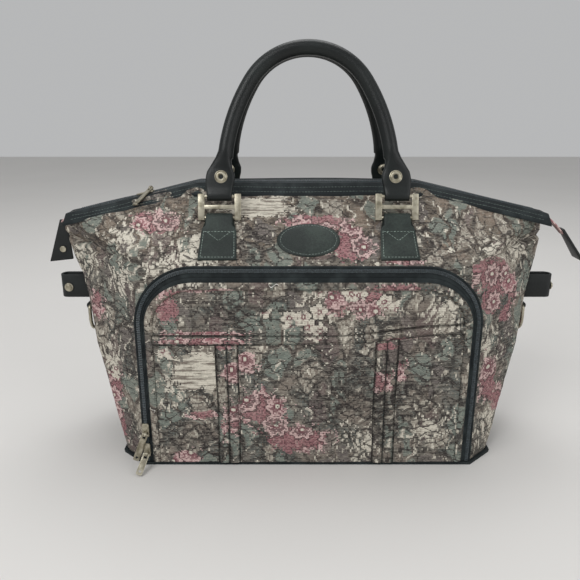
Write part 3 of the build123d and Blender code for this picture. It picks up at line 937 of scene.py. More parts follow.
        # Leaves: bent, stretched cells with a dark outline and a pale or sage face.
        swirl = recipe.vector("SUBTRACT", recipe.noise(cloth, 34.0, 2.0, "Color"), (0.5, 0.5, 0.5))
        bent = self.bent(recipe, cloth, swirl, self.leaf_bend)
        narrow = recipe.stretch(bent, (1.0, 0.52, 1.0), 38.0)
        cell = {"Vector": narrow, "Scale": 1.0 / self.leaf_pitch, "Randomness": 1.0}
        leaf_face = recipe.node("TexVoronoi", cell, voronoi_dimensions="2D")
        leaf_edge = recipe.node("TexVoronoi", cell, voronoi_dimensions="2D", feature="DISTANCE_TO_EDGE")
        kind = recipe.node("SeparateColor", {0: leaf_face.outputs["Color"]}).outputs
        rim = recipe.plus(leaf_edge.outputs["Distance"], recipe.times(thready, 0.08))
        body = recipe.step(rim, 0.10, 0.13)
        outline = recipe.times(recipe.step(rim, 0.10, 0.05), recipe.step(kind[1], 0.25, 0.3))
        sage = recipe.times(body, recipe.step(kind[0], 0.55, 0.58))
        ground = recipe.lay(sage, 0.85, ground, colours["sage"])
        light = recipe.times(body, recipe.step(kind[0], 0.24, 0.22))
        vein = recipe.noise(recipe.stretch(cloth, (1.0, 0.4, 1.0), 40.0), 420.0, 1.0)
        veined = recipe.step(vein, 0.46, 0.52)
        ground = recipe.mix(light, ground, recipe.mix(veined, colours["taupe"], colours["bone"]))
        plum = recipe.times(body, recipe.step(kind[2], 0.74, 0.76))
        ground = recipe.lay(plum, 0.7, ground, colours["plum"])
        ground = recipe.lay(outline, 0.68, ground, colours["dark"])
        # Pale feathered leaves, thick where the first field says so and thin elsewhere.
        feather = recipe.noise(recipe.stretch(bent, (1.0, 0.32, 1.0), -36.0), 260.0, 3.0)
        pale = recipe.plus(feather, recipe.times(first[2], 0.19))
        pale = recipe.plus(pale, recipe.times(jitter, 0.3))
        ground = recipe.mix(recipe.step(pale, 0.60, 0.615), ground, colours["bone"])
        ground = recipe.mix(recipe.step(pale, 0.64, 0.655), ground, colours["cream"])
        # Branches and ferns: thin, bending dark strokes.
        for turn, scale in ((62.0, 34.0), (-48.0, 27.0)):
            inputs = {"Vector": recipe.stretch(bent, (1.0, 1.0, 1.0), turn), "Scale": scale,
                      "Distortion": 5.5, "Detail": 2.5, "Detail Scale": 1.6}
            stroke = recipe.node("TexWave", inputs).outputs["Fac"]
            thicker = recipe.math("MULTIPLY_ADD", second[0], 0.16, recipe.times(drift, 0.22))
            stroke = recipe.plus(stroke, thicker)
            ground = recipe.lay(recipe.step(stroke, 1.07, 1.10), 0.85, ground, colours["dark"])
        dusk = recipe.times(grown(second[0], 0.55), recipe.step(jitter, -0.02, 0.04))
        ground = recipe.lay(dusk, 0.7, ground, colours["dark"])
        # Slubs: single weft rows that run paler or darker for a few centimetres.
        row = recipe.noise(recipe.stretch(cloth, (0.10, 1.0, 1.0)), 420.0, 2.0)
        ground = recipe.lay(recipe.step(row, 0.57, 0.61), 0.26, ground, colours["bone"])
        ground = recipe.lay(recipe.step(row, 0.42, 0.38), 0.32, ground, colours["dark"])
        # The pool: cream and taupe stripes along the weft.
        striped = recipe.mix(recipe.step(row, 0.47, 0.52), colours["bone"], colours["cream"])
        striped = recipe.mix(recipe.step(row, 0.42, 0.39), striped, colours["taupe"])
        ground = recipe.mix(grown(second[1]), ground, striped)
        # Flowers, with their bed of dark wine leaves between them.
        bed = grown(first[0], 0.50)
        speck = recipe.mix(recipe.step(thready, -0.05, 0.0), colours["wine"], colours["rose"])
        ground = recipe.lay(bed, 0.78, ground, speck)
        pushed = self.bent(recipe, cloth, swirl, self.flower_bend)
        rose = self.flower(recipe, pushed, self.rose_pitch, 8.0, 0.37)
        face = recipe.mix(rose["shade"], colours["rose"], colours["plum"])
        face = recipe.mix(recipe.step(recipe.plus(thready, jitter), 0.05, 0.12), face, colours["pink"])
        ground = self.bloom(recipe, ground, rose, grown(first[0], 0.40), face, colours["pink"], colours)
        cream = self.flower(recipe, pushed, self.cream_share * self.rose_pitch, 5.0, 0.91)
        face = recipe.mix(recipe.step(thready, 0.10, 0.16), colours["cream"], colours["bone"])
        ground = self.bloom(recipe, ground, cream, grown(first[1]), face, colours["cream"], colours)
        # Weft rows: every other row is a little darker, and single threads differ.
        rows = recipe.math("SINE", recipe.times(height, math.pi / self.thread_up))
        ground = recipe.mix(recipe.step(rows, -0.2, -0.9), ground, recipe.mix(0.22, ground, colours["dark"]))
        grit = recipe.noise(cloth, 1500.0, 0.0)
        ground = recipe.lay(recipe.step(grit, 0.52, 0.68), 0.17, ground, colours["dark"])
        ground = recipe.lay(recipe.step(grit, 0.48, 0.32), 0.13, ground, colours["cream"])
        # Painted shade: near black where the second attribute's third channel is set, inside the open mouth
        # and in the pocket's sunk seams.
        ground = recipe.mix(second[2], ground, linear(14, 13, 12))
        recipe.link("Base Color", ground)
        recipe.link("Roughness", 0.88)
        recipe.link("Specular IOR Level", 0.15)
        raw_height = recipe.node("SeparateXYZ", {0: raw}).outputs[1]
        ribs = recipe.math("SINE", recipe.times(raw_height, 2 * math.pi / (2 * self.thread_up)))
        relief = recipe.math("MULTIPLY_ADD", grit, 1.2, recipe.times(ribs, 0.35))
        recipe.bump(relief, 0.55, 0.0007)
        return recipe.material

    def bloom(self, recipe: Recipe, ground: Socket, flower: dict[str, Socket],
              where: Socket, face: Socket, rim: tuple[float, ...],
              colours: dict[str, tuple[float, ...]]) -> Socket:
        """Lays one net of flowers over the ground.

        Args:
            recipe: The material.
            ground: The colour under the flowers.
            flower: The flower's masks.
            where: The mask of where these flowers grow.
            face: The petals' colour.
            rim: The colour of the petals' edges.
            colours: The thread colours by name.

        Returns:
            The new colour.
        """
        petal = recipe.mix(recipe.times(flower["gap"], 0.55), face, colours["wine"])
        petal = recipe.mix(recipe.times(flower["rim"], 0.8), petal, rim)
        petal = recipe.mix(flower["ring"], petal, colours["wine"])
        petal = recipe.mix(flower["eye"], petal, colours["cream"])
        edged = recipe.times(recipe.times(flower["outline"], where), 0.7)
        ground = recipe.mix(edged, ground, colours["dark"])
        return recipe.mix(recipe.times(flower["whole"], where), ground, petal)

# ---------------------------------------------------------------- the woven pattern's layout


class Motif(Enum):
    """What grows in a patch of the cloth, valued by its attribute and channel."""

    ROSE = ("bloom", 0)
    CREAM = ("bloom", 1)
    LEAF = ("bloom", 2)
    BRANCH = ("shade", 0)
    POOL = ("shade", 1)


@dataclass(frozen=True)
class Patch:
    """A soft oval patch of one motif, in millimetres on the flat cloth."""

    motif: Motif
    across: float
    up: float
    half_across: float
    half_up: float


def patches(motif: Motif, *rows: tuple[float, float, float, float]) -> tuple[Patch, ...]:
    """Makes patches of one motif.

    Args:
        motif: What grows in them.
        *rows: Each patch's across, up, half across and half up.

    Returns:
        The patches, in the rows' order.
    """
    return tuple(Patch(motif, *row) for row in rows)


@dataclass
class ClothPattern:
    """Where each motif grows. Across is X on the front and goes on round the gussets."""

    front: tuple[Patch, ...] = (
        *patches(Motif.ROSE, (-160, 279, 28, 14), (4, 282, 30, 8), (44, 252, 20, 22), (98, 231, 15, 5),
                 (-144, 180, 12, 14), (-108, 203, 36, 4), (27, 186, 10, 14), (60, 186, 17, 14),
                 (92, 208, 24, 4), (-108, 152, 46, 4), (-66, 121, 12, 10), (-50, 70, 26, 20),
                 (-10, 32, 32, 16), (-132, 10, 15, 8), (-112, 62, 16, 5), (92, 152, 16, 4),
                 (92, 112, 10, 12)),
        *patches(Motif.CREAM, (-34, 170, 13, 12), (5, 171, 18, 18), (40, 198, 22, 9), (82, 188, 12, 10),
                 (-150, 128, 9, 9)),
        *patches(Motif.POOL, (-113, 112, 29, 22), (-52, 300, 34, 14)),
        *patches(Motif.LEAF, (-140, 222, 28, 14), (-188, 258, 24, 14), (-110, 246, 22, 24),
                 (130, 46, 20, 20), (138, 178, 16, 14), (112, 262, 14, 14), (-140, 88, 14, 14),
                 (64, 30, 22, 16)),
        *patches(Motif.BRANCH, (-56, 250, 20, 24), (40, 92, 40, 30), (100, 84, 34, 40), (120, 258, 22, 18),
                 (-116, 36, 30, 18), (-78, 178, 24, 14), (20, 258, 20, 12)),
    )
    gusset: tuple[Patch, ...] = (
        *patches(Motif.ROSE, (178, 216, 17, 14), (208, 210, 14, 14), (192, 182, 15, 15), (230, 188, 11, 14),
                 (216, 160, 9, 10), (192, 92, 14, 24), (212, 60, 10, 14), (260, 120, 18, 22),
                 (-240, 166, 14, 16), (-212, 78, 12, 22), (-206, 30, 10, 18), (-262, 60, 18, 20)),
        *patches(Motif.LEAF, (186, 134, 16, 16), (190, 240, 20, 12), (196, 34, 16, 20), (240, 232, 20, 16),
                 (-218, 110, 16, 18), (-196, 206, 16, 18), (-262, 214, 22, 16)),
        *patches(Motif.CREAM, (-212, 92, 8, 8)),
        *patches(Motif.BRANCH, (-232, 236, 20, 12)),
    )
    back_shift: float = 1000.0

    def fields(self, across: Array, up: Array) -> dict[Motif, Array]:
        """Works out how strongly each motif grows at places on the cloth.

        Args:
            across: Places across the cloth in metres.
            up: Places up the cloth in metres.

        Returns:
            A value of 0 to 1 for each motif and place.
        """
        back = across > 0.7
        side = np.abs(across) > 0.165
        flat = np.where(back, self.back_shift * MM - across, across) / MM
        high = np.where(back, 1.16 * up, up) / MM
        values = {motif: np.zeros(len(across)) for motif in Motif}
        for patches, here in ((self.front, np.ones(len(across), bool)), (self.gusset, side & ~back)):
            for patch in patches:
                distance = ((flat - patch.across) / patch.half_across) ** 2
                distance += ((high - patch.up) / patch.half_up) ** 2
                values[patch.motif] += np.where(here, np.exp(-0.85 * distance), 0.0)
        return {motif: np.clip(value, 0.0, 1.0) for motif, value in values.items()}

    def weave(self, piece: Thing, across: Array, up: Array,
              inside: Array | None = None) -> None:
        """Gives a piece its cloth coordinates and its motif attributes.

        Args:
            piece: The cloth piece.
            across: Each vertex's place across the cloth in metres.
            up: Each vertex's place up the cloth in metres.
            inside: How far each vertex is painted near black as shade, inside the open mouth or in a sunk
                seam, or None.
        """
        mesh = piece.data
        corner = np.zeros(len(mesh.loops), np.int32)
        mesh.loops.foreach_get("vertex_index", corner)
        layer = mesh.uv_layers.new(name="cloth")
        layer.uv.foreach_set("vector", np.stack([across, up], axis=1)[corner].astype(np.float32).ravel())
        colours = {name: np.zeros((len(across), 4), np.float32) for name in ("bloom", "shade")}
        for motif, value in self.fields(across, up).items():
            name, channel = motif.value
            colours[name][:, channel] = value
        # The third channel of the second attribute carries painted shade.
        if inside is not None:
            colours["shade"][:, 2] = inside
        for name, value in colours.items():
            value[:, 3] = 1.0
            attribute = mesh.attributes.new(name, "FLOAT_COLOR", "POINT")
            attribute.data.foreach_set("color", value.ravel())


# ---------------------------------------------------------------- studio


@dataclass
class Studio:
    """A plain pale floor, soft lights and the camera."""

    camera_place: tuple[float, float, float] = (-0.019, -0.683, 0.38)
    camera_pitch: float = 17.0
    lens: float = 37.74
    sensor: float = 36.0
    floor_size: float = 8.0

    def build(self) -> None:
        """Sets up the floor, the world, the lights and the camera."""
        self.floor()
        self.lights()
        bpy.ops.object.camera_add(location=self.camera_place,
                                  rotation=(math.radians(90.0 - self.camera_pitch), 0.0, 0.0))
        camera = christen("camera")
        camera.data.lens = self.lens
        camera.data.sensor_width = self.sensor
        camera.data.dof.use_dof = False
        scene = bpy.context.scene
        scene.camera = camera
        scene.view_settings.view_transform = "Standard"

    def floor(self) -> None:
        """Adds the floor with its pale finish."""
        clear_selection()
        bpy.ops.mesh.primitive_plane_add(size=self.floor_size)
        floor = christen("floor")
        recipe = Recipe("pale_floor")
        cloud = recipe.noise(recipe.place(), 3.0, 3.0)
        recipe.link("Base Color", recipe.mix(cloud, linear(208, 206, 203), linear(214, 212, 209)))
        recipe.link("Roughness", 0.75)
        dress(floor, recipe.material)

    def lights(self) -> None:
        """Adds an even pale world and three soft lamps."""
        world = bpy.data.worlds.new("studio")
        world.use_nodes = True
        background = world.node_tree.nodes["Background"]
        background.inputs["Color"].default_value = linear(226, 227, 228)
        background.inputs["Strength"].default_value = 0.62
        bpy.context.scene.world = world
        lamps = (("key", (-1.1, -1.5, 1.7), 1.3, 26.0), ("fill", (1.5, -1.2, 0.9), 1.4, 10.0),
                 ("top", (0.1, 0.6, 1.9), 1.2, 14.0))
        for name, place, size, power in lamps:
            aim = (Vector((0.0, 0.0, 0.18)) - Vector(place)).to_track_quat("-Z", "Y").to_euler()
            bpy.ops.object.light_add(type="AREA", location=place, rotation=aim)
            lamp = christen(name + "_light")
            lamp.data.size = size
            lamp.data.energy = power


# ---------------------------------------------------------------- body


@dataclass
class ClothBody:
    """The bag's cloth shell: front and back with sloping tops, pointed gussets and a piped base."""

    pattern: ClothPattern
    cloth: Material
    half_length: float = 0.204
    lean: float = 0.27
    half_depth: float = HALF_DEPTH
    seam_foot: float = 0.178
    seam_top: float = SEAM_TOP
    shoulder: float = SHOULDER
    point_height: float = 0.238
    ridge: float = RIDGE
    ridge_half_length: float = RIDGE_HALF_LENGTH
    grain: float = 0.0031
    mouth: tuple[float, float] = (-0.256, -0.196)
    mouth_half: float = 0.0062
    mouth_depth: float = 0.026
    gusset_fullness: float = 0.004
    back_fullness: float = 0.0025
    groove: float = 0.0022
    broad_rumple: float = 0.0032
    close_rumple: float = 0.0019
    crease_depth: float = 0.0024
    crease_lip: float = 0.0016
    corner_fold: float = 0.006
    corner_fullness: float = 0.007

    def build(self) -> Thing:
        """Cuts, softens, shapes and dresses the shell.

        Returns:
            The finished shell.
        """
        shell = self.cut()
        modify(shell, "REMESH", mode="VOXEL", voxel_size=self.grain)
        modify(shell, "SMOOTH", factor=0.5, iterations=7)
        self.shape(shell)
        close_up(shell, fill=False)
        smooth(shell, 70.0)
        dress(shell, self.cloth)
        hand_in(shell, "bag", "tapestry", "front_panel", "back_panel", "left_gusset", "right_gusset",
                "base_panel")
        return shell

    def cut(self) -> Thing:
        """Cuts the bag's planar form out of a block.

        Returns:
            The planar shell.
        """
        tip = self.half_length + self.lean * self.point_height
        clear_selection()
        bpy.ops.mesh.primitive_cube_add(size=1.0, location=(0, 0, 0.5 * self.ridge),
                                        scale=(2.2 * tip, 2 * self.half_depth, self.ridge))
        shell = christen("cloth_shell")
        settle(shell)
        planes = [((0.0, 0.0, self.ridge), (0.0, 0.0, 1.0))]
        for x in (-1.0, 1.0):
            planes.append(((x * self.half_length, 0, 0), (x, 0, -self.lean)))
            planes.append(((x * self.ridge_half_length, 0, self.ridge), (0.2235 * x, 0, 0.9747)))
            for y in (-1.0, 1.0):
                corner = (x * self.seam_foot, y * self.half_depth, 0.0)
                planes.append((corner, (0.6737 * x, 0.7380 * y, 0.0391)))
                planes.append(((x * self.seam_top, y * self.half_depth, self.shoulder),
                               (CORNER_SLOPE[0] * x, CORNER_SLOPE[1] * y, CORNER_SLOPE[2])))
        for y in (-1.0, 1.0):
            planes.append(((0.0, y * self.half_depth, self.shoulder), (0.0, 0.6598 * y, 0.7514)))
        pick(shell)
        bpy.ops.object.mode_set(mode="EDIT")
        for point, normal in planes:
            bpy.ops.mesh.select_all(action="SELECT")
            bpy.ops.mesh.bisect(plane_co=point, plane_no=normal, use_fill=True, clear_outer=True)
        bpy.ops.object.mode_set(mode="OBJECT")
        return shell

    def seam_at(self, height: Array) -> Array:
        """Gives the front seam's distance from the middle at a height."""
        share = np.clip(height / self.shoulder, 0.0, 1.0)
        return self.seam_foot + (self.seam_top - self.seam_foot) * share

    def shape(self, shell: Thing) -> None:
        """Adds seams, fullness, folds and the open mouth, and lays the pattern on the cloth.

        Args:
            shell: The softened shell.
        """
        points = points_of(shell)
        normals = np.zeros(len(points) * 3, np.float32)
        shell.data.vertices.foreach_get("normal", normals)
        normals = normals.reshape(-1, 3)
        x, y, z = points.T
        out = np.abs(x)
        tip = self.half_length + self.lean * self.point_height
        top_edge = self.shoulder + (self.point_height - self.shoulder) * np.clip(
            (out - self.seam_top) / (tip - self.seam_top), 0.0, 1.0)
        seam = self.seam_at(z)
        on_gusset = (out > seam) & (z < top_edge)
        push = np.zeros(len(points))
        # Fullness: the gussets billow between their seams, and the back bellies a little.
        gusset_bulge = np.cos(np.clip(y / self.half_depth, -1, 1) * math.pi / 2) * np.sin(
            np.clip(z / self.shoulder, 0, 1) * math.pi) ** 0.6
        push += np.where(on_gusset, self.gusset_fullness * gusset_bulge, 0.0)
        belly = np.cos(np.clip(x / self.seam_top, -1, 1) * math.pi / 2) * np.sin(
            np.clip(z / self.shoulder, 0, 1) * math.pi)
        push += np.where(~on_gusset & (np.abs(y) > 0.08), self.back_fullness * belly * (y > 0), 0.0)
        # Seams: a narrow groove between two soft lips.
        for distance, strong in ((out - seam, z < top_edge), (z - top_edge, out > self.seam_top)):
            lips = np.exp(-((np.abs(distance) - 0.006) / 0.004) ** 2)
            sunk = np.exp(-(distance / self.groove) ** 2) - 0.35 * lips
            push -= np.where(strong & (z > 0.006) & (np.abs(y) < self.half_depth - 0.0005 + on_gusset),
                             self.groove * sunk, 0.0)
        # Folds and rumples, stronger in the upper corners than on the flat front.
        slack = 0.35 + 0.9 * np.clip((z - 0.15) / 0.1, 0, 1) * np.clip((out - 0.13) / 0.08, 0, 1)
        slack = np.where((y < -0.09) & (z < 0.22), 0.12, slack)
        slack *= np.clip(z / 0.03, 0.1, 1.0)
        for index, point in enumerate(points):
            broad = noise.noise(Vector((point[0] * 16, point[1] * 16, point[2] * 12 + 4.0)))
            close = noise.noise(Vector((point[0] * 38 + point[2] * 22, point[1] * 34 + 9.0, point[2] * 26)))
            push[index] += slack[index] * (self.broad_rumple * broad + self.close_rumple * close)
        # The cloth lies flat under the side straps.
        strapped = np.clip((0.034 - np.abs(y)) / 0.014, 0, 1) * np.clip((0.225 - z) / 0.03, 0, 1)
        strapped *= np.clip((z - 0.07) / 0.03, 0, 1) * (out > 0.19)
        push = push * (1 - strapped) - 0.0006 * strapped
        # Creases: from each upper seam end to the bend of the ridge, and the pinch in the upper corners.
        for side in (-1.0, 1.0):
            run = np.array([side * (self.ridge_half_length - self.seam_top), HALF_DEPTH - 0.026, 0.060])
            start = np.array([side * self.seam_top, -self.half_depth, self.shoulder])
            share = np.clip(((points - start) @ run) / (run @ run), 0, 1)
            away = np.linalg.norm(points - start - share[:, None] * run, axis=1)
            push -= self.crease_depth * np.exp(-(away / 0.0035) ** 2) * (y < 0)
            push += self.crease_lip * np.exp(-((away - 0.010) / 0.006) ** 2) * (y < 0)
        for side, fold_x, fold_z, reach in ((-1.0, 0.240, 0.236, 0.016), (-1.0, 0.222, 0.226, 0.010),
                                            (1.0, 0.244, 0.238, 0.014)):
            away = ((side * x - fold_x) / (1.6 * reach)) ** 2 + ((z - fold_z) / (0.35 * reach)) ** 2
            push -= self.corner_fold * np.exp(-away) * (y < 0.03)
        points += normals * push[:, None]
        x, y, z = points.T
        # The left upper corner is fuller than the right.
        lift = np.clip((-x - 0.19) / 0.07, 0, 1) * np.clip((z - 0.195) / 0.045, 0, 1)
        points[:, 0] -= self.corner_fullness * lift
        # The open mouth: the zip's edges part and the cloth sinks between them; the sunk cloth is painted
        # near black as shade when the pattern is laid on.
        share = np.clip((x - self.mouth[0]) / (self.mouth[1] - self.mouth[0]), 0, 1)
        lens = self.mouth_half * np.sin(share * math.pi) ** 0.7
        in_mouth = np.clip(1.35 - np.abs(y) / np.maximum(lens, 1e-5), 0, 1) * (z > 0.24) * (lens > 1e-4)
        points[:, 2] -= self.mouth_depth * in_mouth
        points[:, 2] = np.maximum(points[:, 2], 0.0)
        move_points(shell, points)
        across = np.where(on_gusset, np.sign(x) * (self.seam_top + 1.3 * (y + self.half_depth)), x)
        across = np.where(~on_gusset & (y > 0), self.pattern.back_shift * MM - x, across)
        up = np.where(z > self.shoulder, self.shoulder + (z - self.shoulder) * 1.515, z)
        up = np.where(on_gusset, z, up)
        under = (z < 0.0015) & (normals[:, 2] < -0.7)
        # The last argument paints the open mouth's inside near black, as painted shade.
        self.pattern.weave(shell, across, np.where(under, y, up), np.clip(1.6 * in_mouth, 0, 1))


# ---------------------------------------------------------------- front pocket


@dataclass
class FrontPocket:
    """The zipped front pocket: tapes, coil, welt, panel, slip pocket, hem and two stitched strips."""

    pattern: ClothPattern
    cloth: Material
    tape: Material
    nylon: Material
    thread: Material
    face: float = HALF_DEPTH
    corner_x: float = 0.1165
    corner_z: float = 0.162
    corner_radius: float = 0.063
    foot: float = 0.004
    coil_inset: float = 2.5 * MM
    coil_width: float = 4.0 * MM
    tooth_pitch: float = 2.0 * MM
    welt_inset: float = 10.5 * MM
    panel_inset: float = 19.0 * MM
    band_extra: float = 6.0 * MM
    strip_centres: tuple[float, float] = (-0.0845, 0.0815)
    hem_height: float = 0.1467
    hem_rise: float = 0.0120
    hem_half: float = 0.0058
    outer_section: Section = ((0, -1.2), (0, 0.9), (0.4, 1.3), (2.0, 1.4), (2.6, 1.1), (2.6, -1.2))
    bed_section: Section = ((2.4, -1.2), (2.4, 1.0), (3.2, 1.9), (4.5, 2.1), (5.8, 1.9), (6.6, 1.0),
                            (6.6, -1.2))
    inner_section: Section = ((6.5, -1.2), (6.5, 1.4), (7.6, 1.7), (8.3, 1.7), (8.6, 1.2), (8.9, 1.7),
                              (9.7, 1.8), (10.6, 1.9), (10.6, -1.2))
    welt_section: Section = ((10.5, -1.2), (10.5, 1.8), (11.4, 3.2), (13.0, 4.1), (15.0, 4.3),
                             (17.0, 3.9), (18.4, 2.9), (19.0, 1.6), (19.0, -1.2))

    @property
    def panel_half(self) -> float:
        """Gives half the width of the panel inside the welt."""
        return self.corner_x + self.corner_radius - self.panel_inset

    def arch(self, share: Array, inset: Array) -> tuple[Array, Array]:
        """Follows the pocket's round-cornered arch from the left foot to the right foot.

        Args:
            share: The share of the way, from 0 to 1.
            inset: The distance in from the outer edge, at the sides.

        Returns:
            X and Z of each point.
        """
        widths = (0.0, 6.5 * MM, self.welt_inset, self.panel_inset, 0.2)
        tops = (0.0, 6.5 * MM, self.welt_inset + self.band_extra, self.panel_inset + self.band_extra, 0.206)
        across = self.corner_radius - inset
        above = self.corner_radius - np.interp(inset, widths, tops)
        rise = self.corner_z - self.foot
        bend = math.pi / 2 * self.corner_radius
        total = 2 * rise + 2 * bend + 2 * self.corner_x
        run = total * np.where(share > 0.5, 1.0 - share, share)
        angle = np.clip((run - rise) / bend, 0.0, 1.0) * math.pi / 2
        level = np.clip(run - rise - bend, 0.0, self.corner_x)
        x = -(self.corner_x - level + across * np.cos(angle))
        x = np.where(angle >= math.pi / 2, -(self.corner_x - level), x)
        z = np.where(run < rise, self.foot + run, self.corner_z + above * np.sin(angle))
        return np.where(share > 0.5, -x, x), z

    def banded(self, share: Array, inset: Array, height: Array) -> Array:
        """Places a point of a band that follows the arch."""
        x, z = self.arch(share, inset)
        return np.stack([x, -self.face - height, z], axis=1)

    def route(self, inset: float, height: float, count: int = 400) -> tuple[Array, Array]:
        """Gives a line along the arch and the outward normal along it.

        Args:
            inset: The distance in from the outer edge.
            height: The distance out of the front.
            count: How many points it has.

        Returns:
            The line's points and their normals.
        """
        share = np.linspace(0.0, 1.0, count)
        points = self.banded(share, np.full(count, inset), np.full(count, height))
        return points, np.tile((0.0, -1.0, 0.0), (count, 1))

    def band(self, name: str, section: Section,
             material: Material) -> Thing:
        """Makes one band round the arch from a section in millimetres.

        Args:
            name: The piece's name.
            section: The section's corners in millimetres.
            material: Its finish.

        Returns:
            The band, dressed.
        """
        outline = [(across * MM, height * MM) for across, height in section]
        piece = swept(name, 200, outline, self.banded)
        dress(piece, material)
        return piece

    def teeth(self) -> Thing:
        """Makes the zip's coil, as rows of small rounded teeth.

        Returns:
            The teeth as one piece.
        """
        middle = self.coil_inset + 0.5 * self.coil_width
        rows = []
        for row, shift in (("left", -0.85 * MM), ("right", 0.85 * MM)):
            pattern = tooth(0.72 * MM, 1.7 * MM)
            points, normals = self.route(middle + shift, 2.3 * MM)
            rows.append(repeated("teeth_" + row, pattern, along(points, normals, self.tooth_pitch)))
        return joined("pocket_zip_teeth", rows)

    def woven(self, piece: Thing, shift: tuple[float, float] = (0.0, 0.0),
              shade: Callable[[Array, Array], Array] | None = None) -> None:
        """Lays the cloth pattern on a piece by its own X and Z.

        Args:
            piece: The cloth piece.
            shift: How far its own cut of the cloth is moved, across and up.
            shade: Gives how much painted shade darkens the cloth where it sinks into its seams, at X and Z.
        """
        points = points_of(piece)
        # Painted shade for the sunk seams, carried in the cloth's third shade channel.
        dark = None if shade is None else shade(points[:, 0], points[:, 2])
        self.pattern.weave(piece, points[:, 0] + shift[0], points[:, 2] + shift[1], dark)
        dress(piece, self.cloth)

    def panel_top(self, x: Array) -> Array:
        """Gives the height of the panel's arched edge at X.

        Args:
            x: Places across.

        Returns:
            The heights.
        """
        across = self.corner_radius - self.panel_inset
        above = across - self.band_extra
        beyond = np.clip((np.abs(x) - self.corner_x) / across, 0.0, 1.0)
        return self.corner_z + above * np.sqrt(1.0 - beyond ** 2)

    def hem_middle(self, x: Array) -> Array:
        """Gives the height of the slip pocket's hem, which climbs to the right."""
        share = np.clip((x - 0.015) / 0.14, 0.0, 1.0)
        return self.hem_height + self.hem_rise * share * share * (3 - 2 * share)

    def panel(self) -> Thing:
        """Makes the cloth panel behind the slip pocket.

        Returns:
            The finished panel.
        """
        half = self.panel_half

        def place(s: Array, t: Array) -> Array:
            """Fills the arch from its foot up.

            Args:
                s: Shares of the run.
                t: Shares of the height.

            Returns:
                The points.
            """
            x = half * (2 * s - 1)
            z = self.foot + t * (self.panel_top(x) - self.foot)
            edge = np.minimum(half - np.abs(x), self.panel_top(x) - z)
            puff = 1.3 * MM + 1.5 * MM * np.clip(edge / 0.012, 0, 1) ** 0.5
            ripple = 0.6 * MM * np.sin(x * 55 + z * 30) * np.clip(edge / 0.02, 0, 1)
            return np.stack([x, -self.face - puff - ripple, z], axis=1)

        piece = sheet("pocket_cloth", 110, 64, place, 2.0 * MM)
        self.woven(piece)
        return piece

    def slip(self) -> Thing:
        """Makes the slip pocket, which bellies out between its seams.

        Returns:
            The finished slip pocket.
        """
        half = self.panel_half

        def place(s: Array, t: Array) -> Array:
            """Fills from the foot up to the hem.

            Args:
                s: Shares of the run.
                t: Shares of the height.

            Returns:
                The points.
            """
            x = half * (2 * s - 1)
            z = self.foot + t * (self.hem_middle(x) - self.foot)
            seams = np.min([np.abs(x - centre) for centre in self.strip_centres] + [half - np.abs(x)], axis=0)
            rise = np.sin(math.pi * np.clip(0.12 + 0.86 * t, 0, 1))
            belly = np.clip((seams - 0.003) / 0.035, 0, 1) ** 0.6 * rise
            ripple = np.sin(x * 75 + np.sin(z * 40) * 2) * np.clip(seams / 0.02, 0, 1)
            return np.stack([x, -self.face - 3.6 * MM - 1.8 * MM * belly - 0.35 * MM * ripple, z], axis=1)

        piece = sheet("slip_pocket_cloth", 120, 50, place, 1.6 * MM)
        self.woven(piece)
        return piece

    def hem(self) -> Thing:
        """Makes the folded, padded hem of the slip pocket.

        Returns:
            The finished hem.
        """
        half = self.panel_half
        section = [(-1.0, 2.0), (-1.0, 4.2), (-0.82, 4.5), (-0.7, 4.1), (-0.5, 5.2), (0.0, 5.7), (0.5, 5.3),
                   (0.72, 4.4), (0.84, 4.7), (1.0, 4.2), (1.0, 2.0)]

        def place(s: Array, a: Array, h: Array) -> Array:
            """Runs from side to side, narrower in the middle.

            Args:
                s: Shares of the run.
                a: Places across the section.
                h: Heights of the section.

            Returns:
                The points.
            """
            x = half * (2 * s - 1)
            width = self.hem_half * (1.0 - 0.22 * np.exp(-((x - 0.01) / 0.05) ** 2))
            return np.stack([x, -self.face - h * MM, self.hem_middle(x) + a * width], axis=1)

        piece = swept("slip_pocket_hem_cloth", 110, section, place)

        def shade(x: Array, z: Array) -> Array:
            """Paints shade on the hem's sewn edges, where the cloth sinks into its seams."""
            return 0.75 * np.clip((np.abs(z - self.hem_middle(x)) / self.hem_half - 0.6) / 0.25, 0, 1)

        self.woven(piece, (0.0, 0.006), shade)
        return piece

    def strip(self, centre: float, name: str) -> Thing:
        """Makes one upright strip: two padded channels between three sunk seams.

        Args:
            centre: Its middle, across.
            name: The piece's name.

        Returns:
            The finished strip.
        """
        half_section = [(12.4, 2.0), (12.2, 4.4), (11.5, 4.8), (10.9, 4.2), (9.4, 5.5), (5.5, 6.3),
                        (1.6, 5.6), (0.4, 4.4)]
        section = [(-across, height) for across, height in half_section] + list(reversed(half_section))

        def place(s: Array, a: Array, h: Array) -> Array:
            """Runs from the foot up to the hem.

            Args:
                s: Shares of the run.
                a: Places across the section.
                h: Heights of the section.

            Returns:
                The points.
            """
            x = centre + a * MM + 0.5 * MM * np.sin(s * 7 + centre * 90)
            z = self.foot + s * (self.hem_middle(x) - self.hem_half * 0.9 - self.foot)
            return np.stack([x, -self.face - h * MM, z], axis=1)

        piece = swept(name, 60, section, place, degrees=60.0)

        def shade(x: Array, z: Array) -> Array:
            """Paints shade into the three sunk seams and along the outer edges."""
            across = np.abs(x - centre) / MM
            return 0.8 * np.clip(1.2 - across / 1.3, 0, 1) + 0.8 * np.clip((across - 9.4) / 1.4, 0, 1)

        self.woven(piece, (0.014, 0.011), shade)
        return piece

